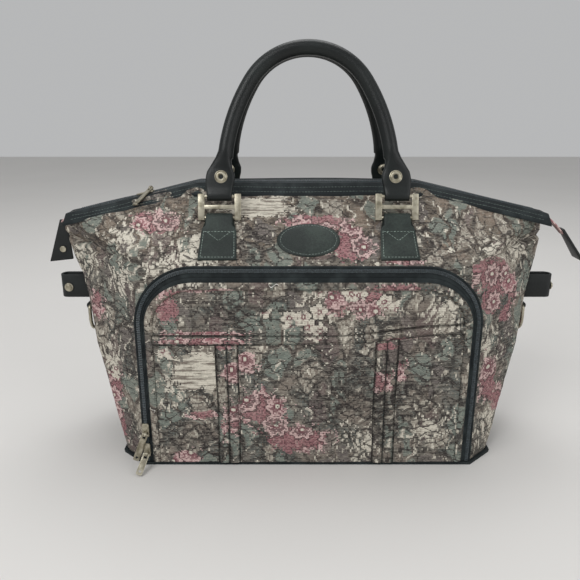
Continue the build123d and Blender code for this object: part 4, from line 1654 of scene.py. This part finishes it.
    def seams(self) -> Thing:
        """Sews the strips, the hem and the tapes with dark thread.

        Returns:
            The stitches as one piece.
        """
        front = np.tile((0.0, -1.0, 0.0), (80, 1))
        rows = []
        for centre in self.strip_centres:
            for offset, height in ((-10.9, 4.6), (0.0, 4.8), (10.9, 4.6)):
                share = np.linspace(0.0, 1.0, 80)
                x = centre + offset * MM + 0.5 * MM * np.sin(share * 7 + centre * 90)
                z = self.foot + share * (self.hem_middle(x) - self.hem_half - self.foot)
                points = np.stack([x, np.full(80, -self.face - height * MM), z], axis=1)
                rows.append(stitched("seam", points, front, 2.9 * MM, 0.55 * MM, 3.3 * MM))
        half = self.panel_half
        x = np.linspace(-half, half, 80)
        for share in (-0.76, 0.78):
            z = self.hem_middle(x) + share * self.hem_half
            points = np.stack([x, np.full(80, -self.face - 4.6 * MM), z], axis=1)
            rows.append(stitched("seam", points, front, 2.4 * MM, 0.35 * MM))
        points, normals = self.route(self.panel_inset - 0.4 * MM, 2.4 * MM)
        rows.append(stitched("seam", points, normals, 3.0 * MM, 0.45 * MM))
        return put_together("pocket_seams", rows, self.thread)

    def build(self) -> None:
        """Builds and hands in every piece of the pocket."""
        outer = self.band("pocket_zip_outer_tape", self.outer_section, self.tape)
        hand_in(outer, "bag", "zip_tape", "pocket_outer_tape")
        bed = self.band("pocket_zip_bed", self.bed_section, self.nylon)
        hand_in(bed, "bag", "zip_coil", "pocket_coil")
        teeth = self.teeth()
        dress(teeth, self.nylon)
        hand_in(teeth, "bag", "zip_coil")
        inner = self.band("pocket_zip_inner_tape", self.inner_section, self.tape)
        hand_in(inner, "bag", "zip_tape", "pocket_inner_tape")
        welt = self.band("pocket_welt_cloth", self.welt_section, self.cloth)
        self.woven(welt, (0.0, 0.005))
        hand_in(welt, "bag", "tapestry", "pocket_welt")
        hand_in(self.panel(), "bag", "tapestry", "pocket_panel")
        hand_in(self.slip(), "bag", "tapestry", "slip_pocket")
        hand_in(self.hem(), "bag", "tapestry", "slip_pocket_hem")
        for centre, name in zip(self.strip_centres, ("left_pocket_strip", "right_pocket_strip")):
            hand_in(self.strip(centre, name + "_cloth"), "bag", "tapestry", name)
        hand_in(self.seams(), "bag", "tapestry")


# ---------------------------------------------------------------- top zip


@dataclass
class TopZip:
    """The zip along the ridge: two tapes, two rows of coil and the cloth ends."""

    pattern: ClothPattern
    cloth: Material
    tape: Material
    nylon: Material
    thread: Material
    half_length: float = 0.268
    half_opening: float = 0.025
    half_slit: float = 0.8 * MM
    mouth_start: float = -0.258
    mouth_end: float = -0.194
    mouth_half: float = 6.0 * MM
    coil_half: float = 0.255
    end_fall: float = 0.2293
    slope_rise: float = 0.878
    coil_width: float = 3.4 * MM
    tooth_pitch: float = 2.1 * MM

    def roof(self, x: Array, y: Array) -> Array:
        """Gives the height of the bag's top at a place.

        Args:
            x: Places across.
            y: Places from front to back.

        Returns:
            The heights.
        """
        out, back = np.abs(x), np.abs(y)
        aside, inwards, upwards = CORNER_SLOPE
        faces = [np.full(out.shape, RIDGE),
                 RIDGE - (out - RIDGE_HALF_LENGTH) * self.end_fall,
                 SHOULDER + self.slope_rise * (HALF_DEPTH - back),
                 SHOULDER + (inwards * (HALF_DEPTH - back) - aside * (out - SEAM_TOP)) / upwards]
        return np.min(faces, axis=0)

    def slit(self, x: Array) -> Array:
        """Gives half the distance between the tapes, wider along the open stretch."""
        share = np.clip((x - self.mouth_start) / (self.mouth_end - self.mouth_start), 0.0, 1.0)
        return self.half_slit + (self.mouth_half - self.half_slit) * np.sin(share * math.pi) ** 0.8

    def along_ridge(self, side: Side) -> Place:
        """Makes the placing rule for a strip beside the slit.

        Args:
            side: Front or back.

        Returns:
            A rule of share along, share across and height in millimetres.
        """
        def place(s: Array, a: Array, h: Array) -> Array:
            """Puts a point of the tape.

            Args:
                s: Shares of the run.
                a: Places across the section.
                h: Heights of the section.

            Returns:
                The points.
            """
            x = self.half_length * (2 * s - 1)
            edge = self.slit(x)
            away = edge + a * (self.half_opening - edge)
            lift = 2.4 * np.sin(np.clip(a, 0, 1) * math.pi) * (side is Side.BACK) * np.clip(
                1.2 - np.abs(x) / 0.2, 0, 1)
            wave = 0.5 * np.sin(x * 42 + side.value) * np.clip(a, 0, 1)
            z = self.roof(x, away) + (h + lift + wave) * MM
            return np.stack([x, side.value * away, z], axis=1)

        return place

    def tapes(self, side: Side) -> tuple[Thing, Thing]:
        """Makes one tape and its two stitch rows.

        Args:
            side: Front or back.

        Returns:
            The tape and its stitches.
        """
        section = [(0.0, -1.2), (0.0, 1.0), (0.06, 1.5), (0.42, 1.7), (0.46, 1.35), (0.50, 1.7), (0.86, 1.7),
                   (0.90, 1.4), (0.97, 1.6), (1.0, 1.1), (1.0, -1.2)]
        place = self.along_ridge(side)
        name = side.word
        tape = swept(f"top_zip_{name}_cloth_tape", 220, section, place)
        dress(tape, self.tape)
        share = np.linspace(0.015, 0.985, 300)
        rows = []
        for across in (0.70, 0.90):
            points = place(share, np.full(300, across), np.full(300, 1.8))
            ahead = place(share, np.full(300, across + 0.05), np.full(300, 1.8)) - points
            run = np.gradient(points, axis=0)
            normals = np.cross(run, ahead) * -side.value
            rows.append(stitched("row", points, normals, 2.3 * MM, 0.28 * MM))
        return tape, put_together(f"top_zip_{name}_stitches", rows, self.thread)

    def coil(self, side: Side) -> Thing:
        """Makes one row of coil, bed and teeth.

        Args:
            side: Front or back.

        Returns:
            The row as one piece.
        """
        place = self.along_ridge(side)
        width = self.coil_width / self.half_opening
        edge = self.coil_half / self.half_length

        def shorter(s: Array, a: Array, h: Array) -> Array:
            """Keeps to the coil's own length."""
            return place(0.5 + (s - 0.5) * edge, a, h)

        section = [(0.0, 0.6), (0.0, 2.0), (0.3 * width, 2.5), (0.8 * width, 2.4), (width, 1.6), (width, 0.6)]
        bed = swept("coil_bed", 220, section, shorter)
        share = np.linspace(0.0, 1.0, 300)
        points = shorter(share, np.full(300, 0.45 * width), np.full(300, 2.3))
        pattern = tooth(0.75 * MM, 3.0 * MM)
        normals = np.tile((0.0, 0.0, 1.0), (300, 1))
        teeth = repeated("coil_teeth", pattern, along(points, normals, self.tooth_pitch))
        return put_together(f"top_zip_{side.word}_teeth", [bed, teeth], self.nylon)

    def end(self, hand: Hand) -> Thing:
        """Makes the cloth end that droops past the gusset's point.

        Args:
            hand: Left or right.

        Returns:
            The finished end.
        """
        droop = 0.008 if hand is Hand.LEFT else 0.022
        reach = self.box_reach(hand)
        section = [(-1.0, -1.0), (-1.0, 0.2), (-0.85, 1.5), (-0.4, 2.0), (0.0, 1.6), (0.4, 2.0), (0.85, 1.5),
                   (1.0, 0.2), (1.0, -1.0), (0.5, -1.6), (-0.5, -1.6)]

        def place(s: Array, a: Array, h: Array) -> Array:
            """Runs outwards and down.

            Args:
                s: Shares of the run.
                a: Places across the section.
                h: Heights of the section.

            Returns:
                The points.
            """
            x = self.half_length - 0.006 + s * (reach - self.half_length + 0.006)
            half = 0.0115 - 0.0045 * s
            z = 0.2615 - droop * s ** 1.5 + h * MM * (1 - 0.3 * s)
            return np.stack([hand.value * x, a * half, z], axis=1)

        piece = swept(f"{hand.word}_zip_end_cloth", 24, section, place, degrees=60.0)
        points = points_of(piece)
        up = 0.279 + points[:, 0] * 0.4 * hand.value - 0.11
        self.pattern.weave(piece, points[:, 0] * 0 - 0.17 + points[:, 1], up)
        dress(piece, self.cloth)
        return piece

    def box_reach(self, hand: Hand) -> float:
        """Gives how far the cloth end of the frame reaches on one side."""
        low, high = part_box(f"{hand.word}_zip_end")
        return abs(low.x) if hand is Hand.LEFT else high.x

    def build(self) -> None:
        """Builds and hands in every piece of the top zip."""
        for side in Side:
            name = side.word
            tape, stitches = self.tapes(side)
            hand_in(tape, "bag", "zip_tape", f"top_zip_{name}_tape", f"open_mouth_{name}_tape")
            hand_in(stitches, "bag", "zip_tape")
            hand_in(self.coil(side), "bag", "zip_coil", f"top_zip_{name}_coil")
        for hand in Hand:
            hand_in(self.end(hand), "bag", "tapestry", f"{hand.word}_zip_end")


# ---------------------------------------------------------------- leather, rings and handles


UPPER_BAR = (-0.0484, 0.2880)
HANG_UP = Vector((0.0, HANG_BACK, HANG_RISE))
HANG_OUT = Vector((0.0, -HANG_RISE, HANG_BACK))
SLOPE_OUT = np.array((0.0, -SLOPE_UP, SLOPE_IN))


def on_slope(x: Array, up: Array, out: Array) -> Array:
    """Places points on the front's sloping top.

    Args:
        x: Places across.
        up: Distances up the slope from the shoulder.
        out: Distances out of the slope.

    Returns:
        The points.
    """
    y = -HALF_DEPTH + SLOPE_IN * up - SLOPE_UP * out
    return np.stack([x, y, SHOULDER + SLOPE_UP * up + SLOPE_IN * out], axis=1)


def on_hanger(x: Array, up: Array, out: Array) -> Array:
    """Places points in the leaning plane of the front rings and handle.

    Args:
        x: Places across.
        up: Distances up from the rings' upper bar.
        out: Distances forward of the plane.

    Returns:
        The points.
    """
    y = UPPER_BAR[0] + HANG_BACK * up - HANG_RISE * out
    return np.stack([x, y, UPPER_BAR[1] + HANG_RISE * up + HANG_BACK * out], axis=1)


def hanger_point(x: float, up: float) -> Array:
    """Gives one point of the leaning plane."""
    return on_hanger(np.array([x]), np.array([up]), np.array([0.0]))[0]


@dataclass
class LeatherTabs:
    """The leather tabs that hold the rings, and the bare oval patch between the front two."""

    leather: Material
    thread: Material
    centre: float = 0.0925
    foot: float = 0.008
    shoulder: float = 0.046
    neck: float = 0.049
    foot_half: float = 0.0197
    shoulder_half: float = 0.0180
    neck_half: float = 0.0135
    bar: float = 0.0592
    patch_up: float = 0.033
    patch_half: tuple[float, float] = (0.0325, 0.0210)

    def half_at(self, up: Array) -> Array:
        """Gives the tab's half width at a distance up the slope.

        Args:
            up: Distances up the slope.

        Returns:
            The half widths.
        """
        return np.interp(up, (self.foot, self.shoulder - 0.006, self.shoulder, self.neck, self.bar),
                         (self.foot_half, self.shoulder_half + 0.0004, self.shoulder_half - 0.0006,
                          self.neck_half + 0.0004, self.neck_half))

    def tab(self, hand: Hand) -> Thing:
        """Makes one tab, from its square foot to the fold round the ring's bar.

        Args:
            hand: Left or right.

        Returns:
            The tab, not yet dressed.
        """
        fold = self.bar * 1000
        outline = [(8.0, -0.6), (8.0, 1.5), (8.6, 2.3), (9.6, 2.6), (20.0, 2.7), (32.0, 2.8), (40.0, 3.2),
                   (44.5, 4.0), (46.2, 4.6), (49.0, 5.8), (fold - 5.2, 7.6), (fold - 3.0, 8.9), (fold, 9.4),
                   (fold + 3.1, 8.2), (fold + 4.7, 4.7), (fold + 3.3, 1.4), (fold, 0.0), (46.0, -0.6)]

        def place(s: Array, a: Array, h: Array) -> Array:
            """Spreads the side view across the tab, with softly rounded edges.

            Args:
                s: Shares of the run.
                a: Places across the section.
                h: Heights of the section.

            Returns:
                The points.
            """
            side = 2 * s - 1
            edge = np.clip((1 - np.abs(side)) / 0.06, 0, 1)
            height = np.where(h > 1.0, h - 0.7 * (1 - edge), h)
            x = hand.value * self.centre + side * self.half_at(a * MM)
            return on_slope(x, a * MM, height * MM)

        return swept(f"front_{hand.word}_leather_tab", 40, outline, place, degrees=35.0)

    def tab_seams(self, hand: Hand) -> Thing:
        """Sews a tab round its edge and with a pointed bridge below the ring.

        Args:
            hand: Left or right.

        Returns:
            The stitches as one piece.
        """
        inset = 0.0026
        ups = np.linspace(self.foot + inset, self.shoulder - 0.003, 30)
        half = self.half_at(ups) - inset
        across = np.linspace(-1.0, 1.0, 30)
        lines = [(half, ups), (-half, ups), (across * half[0], np.full(30, self.foot + inset)),
                 (across * half[-1], np.full(30, self.shoulder - 0.004)),
                 (across * half[-1] * 0.8, self.shoulder - 0.004 - 0.011 * (1 - np.abs(across)))]
        rows = []
        for x, up in lines:
            level = np.interp(up, (0.010, 0.032, 0.040, 0.0445), (2.6 * MM, 2.8 * MM, 3.2 * MM, 4.0 * MM))
            points = on_slope(hand.value * self.centre + x, up, level + 0.35 * MM)
            rows.append(stitched("row", points, np.tile(SLOPE_OUT, (30, 1)), 2.0 * MM, 0.46 * MM, 3.2 * MM))
        return put_together(f"front_{hand.word}_tab_stitches", rows, self.thread)

    def patch(self) -> Thing:
        """Makes the oval patch, softly domed with a pressed edge.

        Returns:
            The patch, not yet dressed.
        """
        profile = [(0.0, 2.3), (0.5, 2.3), (0.84, 2.15), (0.885, 1.75), (0.92, 1.95), (0.97, 1.7), (1.0, 0.9),
                   (1.0, -0.8), (0.0, -0.8)]

        def place(s: Array, a: Array, h: Array) -> Array:
            """Turns the profile round an oval.

            Args:
                s: Shares of the run.
                a: Places across the section.
                h: Heights of the section.

            Returns:
                The points.
            """
            angle = 2 * math.pi * s
            x = self.patch_half[0] * a * np.cos(angle)
            return on_slope(x, self.patch_up + self.patch_half[1] * a * np.sin(angle), h * MM)

        return swept("oval_leather_patch", 72, profile, place, ring=True)

    def patch_seam(self) -> Thing:
        """Sews the patch round its edge.

        Returns:
            The stitches as one piece.
        """
        angle = np.linspace(0.0, 2 * math.pi, 120)
        points = on_slope(0.885 * self.patch_half[0] * np.cos(angle),
                          self.patch_up + 0.885 * self.patch_half[1] * np.sin(angle), np.full(120, 2.0 * MM))
        normals = np.tile(SLOPE_OUT, (120, 1))
        piece = stitched("oval_patch_stitches", points, normals, 2.0 * MM, 0.36 * MM, 3.2 * MM)
        dress(piece, self.thread)
        return piece

    def build(self) -> None:
        """Builds and hands in the tabs and the patch."""
        for hand in Hand:
            word = hand.word
            tab = self.tab(hand)
            dress(tab, self.leather)
            seams = self.tab_seams(hand)
            back_tab = mirrored(tab, f"back_{word}_leather_tab")
            back_seams = mirrored(seams, f"back_{word}_tab_stitches")
            hand_in(tab, "bag", "strap_leather", f"front_{word}_tab")
            hand_in(seams, "bag", "strap_leather")
            hand_in(back_tab, "bag", "strap_leather", f"back_{word}_tab")
            hand_in(back_seams, "bag", "strap_leather")
        patch = self.patch()
        dress(patch, self.leather)
        hand_in(patch, "bag", "strap_leather", "oval_patch")
        hand_in(self.patch_seam(), "bag", "strap_leather")


@dataclass
class StrapRings:
    """The four H-shaped metal rings between the tabs and the handles."""

    metal: Material
    centre: float = 0.0925
    inner_half: float = 0.0155
    bar_width: float = 0.0070
    thickness: float = 0.0034
    pitch: float = 0.0220
    margin: float = 0.0027
    crossbar: float = 0.0044
    pin: float = 0.0033

    def ring(self, hand: Hand) -> Thing:
        """Makes one ring with rounded edges.

        Args:
            hand: Left or right.

        Returns:
            The ring, dressed.
        """
        middle = -0.5 * self.pitch
        axes = (Vector((1.0, 0.0, 0.0)), HANG_UP, -HANG_OUT)
        parts = []
        for side in (-1.0, 1.0):
            x = hand.value * self.centre + side * (self.inner_half + 0.5 * self.bar_width)
            centre = hanger_point(x, middle)
            size = (self.bar_width, self.pitch + 2 * self.margin, self.thickness)
            parts.append(block("bar", size, centre, axes, 0.0006))
        bars = ((middle, self.crossbar, self.thickness * 0.9, 0.0005), (0.0, self.pin, self.pin, 0.0014),
                (-self.pitch, self.pin, self.pin, 0.0014))
        for up, tall, deep, rounding in bars:
            centre = hanger_point(hand.value * self.centre, up)
            parts.append(block("bar", (2 * self.inner_half + 0.002, tall, deep), centre, axes, rounding))
        return put_together(f"front_{hand.word}_strap_ring", parts, self.metal)

    def build(self) -> None:
        """Builds and hands in the four rings."""
        for hand in Hand:
            word = hand.word
            ring = self.ring(hand)
            twin = mirrored(ring, f"back_{word}_strap_ring")
            hand_in(ring, "front_rings", "nickel", f"front_{word}_ring")
            hand_in(twin, "back_rings", "nickel", f"back_{word}_ring")


@dataclass
class RolledHandles:
    """The two rolled handles, with flat riveted ends that fold round the rings' upper bars."""

    leather: Material
    thread: Material
    metal: Material
    radius: float = 0.0073
    leaf_half_thickness: float = 0.0030
    leaf_half_width: float = 0.0135
    shoulder_radius: float = 0.0152
    fold_radius: float = 0.0047
    leaf_x: float = 0.0925
    leaf_top: float = 0.012
    leaf_run: float = 0.014
    blend_start: float = 0.026
    rivet_x: float = 0.0905
    rivet_up: float = 0.020
    side_radius: float = 0.190
    side_centre: tuple[float, float] = (-0.102, 0.020)
    top_radius: float = 0.0702
    top_centre: float = 0.0828
    join_angle: float = 31.6
    start_angle: float = 7.56

    def on_side(self, angle: float) -> tuple[float, float]:
        """Gives a point of the side's arc."""
        return (self.side_centre[0] + self.side_radius * math.cos(angle),
                self.side_centre[1] + self.side_radius * math.sin(angle))

    def inward(self, line: Array) -> Array:
        """Gives the direction into the loop at each point of the centre line.

        Args:
            line: The centre line's points.

        Returns:
            Unit directions as (across, up).
        """
        heading = np.gradient(line, axis=0)
        heading /= np.linalg.norm(heading, axis=1)[:, None]
        return np.stack([-heading[:, 1], heading[:, 0]], axis=1)

    def centre_line(self) -> Array:
        """Gives the handle's centre line from the left fold over the top to the right fold.

        Returns:
            Points as (across, up) in the handle's plane.
        """
        leaf = [(self.leaf_x, up) for up in np.linspace(-self.fold_radius, self.leaf_top, 8)]
        leaf += [(self.leaf_x + (self.rivet_x - self.leaf_x) * share, self.leaf_top + self.leaf_run * share)
                 for share in np.linspace(0.15, 1.0, 6)]
        blend_x, blend_up = self.on_side(math.radians(self.start_angle))
        leaf += [(self.rivet_x + (blend_x - self.rivet_x) * share ** 1.2,
                  self.blend_start + (blend_up - self.blend_start) * share)
                 for share in np.linspace(0.12, 0.94, 9)]
        side = [self.on_side(angle)
                for angle in np.radians(np.linspace(self.start_angle, self.join_angle, 24))]
        top = [(self.top_radius * math.cos(angle), self.top_centre + self.top_radius * math.sin(angle))
               for angle in np.radians(np.linspace(self.join_angle + 3.0, 90.0, 20))]
        right = np.array(leaf + side + top)
        left = right[:-1][::-1] * (-1.0, 1.0)
        return np.vstack([right, left])

    def grip(self) -> Thing:
        """Makes the handle in one piece: flat, rounded, rolled, and flat again.

        Returns:
            The handle, not yet dressed.
        """
        line = self.centre_line()
        inward = self.inward(line)
        up = line[:, 1]
        widths = np.interp(up, (-0.005, 0.004, 0.012, 0.018, 0.024, 0.031, 0.038, 0.046),
                           (0.0128, self.leaf_half_width, 0.0146, self.shoulder_radius, 0.0146, 0.0112,
                            0.0086, self.radius))
        depths = np.interp(up, (-0.0047, -0.003, 0.0, 0.004, 0.008, 0.028, 0.046),
                           (0.0012, 0.0036, self.fold_radius, 0.0042, self.leaf_half_thickness, 0.0034,
                            self.radius))
        square = np.interp(up, (0.018, 0.046), (0.38, 1.0))
        count = 20
        angles = [2 * math.pi * index / count for index in range(count)]
        section = [(math.cos(angle), math.sin(angle)) for angle in angles]

        def place(s: Array, a: Array, h: Array) -> Array:
            """Lays the changing section round the centre line.

            Args:
                s: Shares of the run.
                a: Places across the section.
                h: Heights of the section.

            Returns:
                The points.
            """
            index = np.rint(s * (len(line) - 1)).astype(int)
            power = square[index]
            wide = np.sign(a) * np.abs(a) ** power * widths[index]
            seam = np.where((a < -0.93) & (up[index] > 0.04), 0.0013, 0.0)
            deep = np.sign(h) * np.abs(h) ** power * depths[index]
            middle = line[index] + inward[index] * -(wide - seam)[:, None]
            return on_hanger(middle[:, 0], middle[:, 1], deep)

        return swept("front_rolled_handle", len(line) - 1, section, place, degrees=50.0)

    def seam(self) -> Thing:
        """Sews the roll along its inner edge, on both faces.

        Returns:
            The stitches as one piece.
        """
        line = self.centre_line()
        inward = self.inward(line)
        rolled = line[:, 1] > 0.047
        rows = []
        for face in (1.0, -1.0):
            lean = math.radians(38.0)
            shift = line[rolled] + inward[rolled] * (math.cos(lean) * self.radius)
            level = face * math.sin(lean) * self.radius * 1.02
            points = on_hanger(shift[:, 0], shift[:, 1], np.full(len(shift), level))
            inner = inward[rolled] * math.cos(lean)
            flat = on_hanger(inner[:, 0], inner[:, 1], np.full(len(inner), face * math.sin(lean)))
            normals = flat - on_hanger(np.zeros(1), np.zeros(1), np.zeros(1))
            rows.append(stitched("row", points, normals, 2.6 * MM, 0.30 * MM, 3.8 * MM))
        return put_together("front_handle_stitches", rows, self.thread)

    def rivets(self) -> Thing:
        """Turns the two rivets: a dished cap with a rim and a hollow middle on both faces.

        Returns:
            Both rivets as one piece.
        """
        face = [(0.0, 1.6), (1.7, 1.7), (2.2, 3.4), (2.9, 4.3), (4.2, 4.5), (5.2, 4.1), (5.6, 3.7),
                (6.0, 4.1), (6.6, 3.8), (6.8, 3.0)]
        profile = [(radius * MM, height * MM) for radius, height in face]
        profile += [(radius, -height) for radius, height in reversed(profile)]
        caps = []
        for hand in Hand:
            place = Vector(hanger_point(hand.value * self.rivet_x, self.rivet_up))
            caps.append(turned("rivet", profile, place, HANG_OUT, 36))
        return put_together("front_handle_rivet_caps", caps, self.metal)

    def build(self) -> None:
        """Builds and hands in both handles."""
        grip = self.grip()
        dress(grip, self.leather)
        pieces = ((grip, "back_rolled_handle", "handle_leather", "_handle"),
                  (self.seam(), "back_handle_stitches", "handle_leather", ""),
                  (self.rivets(), "back_handle_rivet_caps", "nickel", "_handle_rivets"))
        for front, twin_name, slot, node in pieces:
            twin = mirrored(front, twin_name)
            hand_in(front, "front_handle", slot, *(["front" + node] if node else []))
            hand_in(twin, "back_handle", slot, *(["back" + node] if node else []))


@dataclass
class LooseThreads:
    """Two pale ends of sewing thread that have worked loose at the pocket's welt.

    Each end starts inside the welt, runs to its tip, and curls out from the bag on the way.
    """

    thread: Material
    half_thickness: float = 0.38 * MM
    curl: float = 2.2 * MM
    stand_off: float = 2.0 * MM

    def loose_end(self, name: str, start: tuple[float, float, float],
                  tip: tuple[float, float, float]) -> Thing:
        """Makes one curled end of thread.

        Args:
            name: The piece's name.
            start: Where it leaves the seam.
            tip: Where it ends.

        Returns:
            The closed, dressed mesh.
        """
        begin, run = np.array(start), np.array(tip) - np.array(start)
        across = np.cross(run / np.linalg.norm(run), (0.0, -1.0, 0.0))
        turns = np.linspace(0.0, 2 * math.pi, 6, endpoint=False)
        section = [(math.cos(turn), math.sin(turn)) for turn in turns]

        def place(s: Array, a: Array, h: Array) -> Array:
            """Swings from side to side along the run, and bows outwards.

            Args:
                s: Shares of the run.
                a: Places across the section.
                h: Heights of the section.

            Returns:
                The points.
            """
            swing = self.curl * np.sin(2 * math.pi * s) + self.half_thickness * a
            outwards = self.stand_off * np.sin(math.pi * s) + self.half_thickness * h
            return begin + np.outer(s, run) + np.outer(swing, across) + np.outer(outwards, (0.0, -1.0, 0.0))

        piece = swept(name, 28, section, place)
        dress(piece, self.thread)
        return piece

    def build(self) -> None:
        """Builds and hands in both ends."""
        above = self.loose_end("loose_thread_above", (-0.0405, -0.0985, 0.2072), (-0.0300, -0.0995, 0.2055))
        beside = self.loose_end("loose_thread_beside", (-0.1668, -0.0970, 0.0715), (-0.1645, -0.0990, 0.0645))
        hand_in(above, "bag", "tapestry")
        hand_in(beside, "bag", "tapestry")


@dataclass
class SmallParts:
    """Side straps, zip sliders and pulls, studs and D-rings, with their edges rounded off."""

    piping: Material
    board: Material
    strap: Material
    metal: Material
    strap_rounding: float = 0.0006
    metal_rounding: float = 0.00035
    straps: tuple[str, ...] = ("left_tail_tab", "right_tail_tab", "left_loop", "right_loop", "left_chape",
                               "right_chape")
    metals: dict[str, str] = field(default_factory=lambda: {
        "top_zip_slider": "top_slider", "top_zip_pull": "top_pull",
        "upper_pocket_slider": "upper_slider", "upper_pocket_pull": "upper_pull",
        "lower_pocket_slider": "lower_slider", "lower_pocket_pull": "lower_pull",
        "left_tail_snap": "bag", "right_tail_snap": "bag",
        "left_loop_stud": "bag", "right_loop_stud": "bag",
        "left_d_ring": "left_d_ring", "right_d_ring": "right_d_ring"})

    def rounded(self, node: str, rounding: float) -> Thing:
        """Copies a node of the frame, merges its facets and rounds its edges.

        Args:
            node: The node's name.
            rounding: The radius of its edges.

        Returns:
            The finished copy.
        """
        source = frame["nodes"][node]
        piece = source.copy()
        piece.data = source.data.copy()
        piece.parent = None
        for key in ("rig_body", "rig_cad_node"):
            if key in piece:
                del piece[key]
        bpy.context.scene.collection.objects.link(piece)
        piece.name = node + "_finished"
        piece.data.name = piece.name
        pick(piece)
        bpy.ops.object.mode_set(mode="EDIT")
        bpy.ops.mesh.select_all(action="SELECT")
        bpy.ops.mesh.remove_doubles(threshold=1e-5)
        bpy.ops.mesh.dissolve_limited(angle_limit=math.radians(2.0))
        bpy.ops.object.mode_set(mode="OBJECT")
        modify(piece, "BEVEL", width=rounding, segments=2, limit_method="ANGLE",
               angle_limit=math.radians(40.0))
        smooth(piece, 35.0)
        return piece

    def build(self) -> None:
        """Rounds, dresses and hands in each small part, and dresses the two nodes that keep their shape."""
        for node in self.straps:
            piece = self.rounded(node, self.strap_rounding)
            dress(piece, self.strap)
            hand_in(piece, "bag", "strap_leather", node)
        for node, body in self.metals.items():
            piece = self.rounded(node, self.metal_rounding)
            dress(piece, self.metal)
            hand_in(piece, body, "nickel", node)
        for node, material in (("base_piping", self.piping), ("base_board", self.board)):
            dress(frame["nodes"][node], material)
            log.info("%s: dressed", node)


def main() -> None:
    """Builds the bag, piece by piece."""
    logging.basicConfig(level=logging.INFO, format="%(message)s")
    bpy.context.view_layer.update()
    Studio().build()
    pattern = ClothPattern()
    cloth = Tapestry().make()
    tape = ZipTape("zip_tape", (21, 27, 29), (48, 55, 56)).make()
    nylon = Moulded("zip_nylon", (40, 47, 50), 0.36).make()
    thread = Moulded("dark_thread", (30, 34, 34), 0.7).make()
    tab_thread = Moulded("green_thread", (92, 104, 98), 0.7).make()
    patch_thread = Moulded("patch_thread", (120, 134, 126), 0.7).make()
    handle_leather = Leather("handle_leather", (14, 18, 18), (33, 41, 39), 0.27, 0.5).make()
    strap_leather = Leather("strap_leather", (27, 36, 33), (72, 84, 77), 0.42, 0.6).make()
    black_strap = Leather("black_strap", (20, 23, 23), (42, 47, 46), 0.42, 0.5).make()
    nickel = Metal("aged_nickel", (184, 178, 160), (132, 126, 108), 0.26).make()
    board = Moulded("board", (70, 62, 52), 0.8).make()
    pale_thread = Moulded("pale_thread", (206, 200, 188), 0.7).make()
    ClothBody(pattern, cloth).build()
    FrontPocket(pattern, cloth, tape, nylon, thread).build()
    LooseThreads(pale_thread).build()
    TopZip(pattern, cloth, tape, nylon, tab_thread).build()
    LeatherTabs(strap_leather, patch_thread).build()
    StrapRings(nickel).build()
    RolledHandles(handle_leather, tab_thread, nickel).build()
    SmallParts(tape, board, black_strap, nickel).build()


if __name__ == "__main__":
    main()
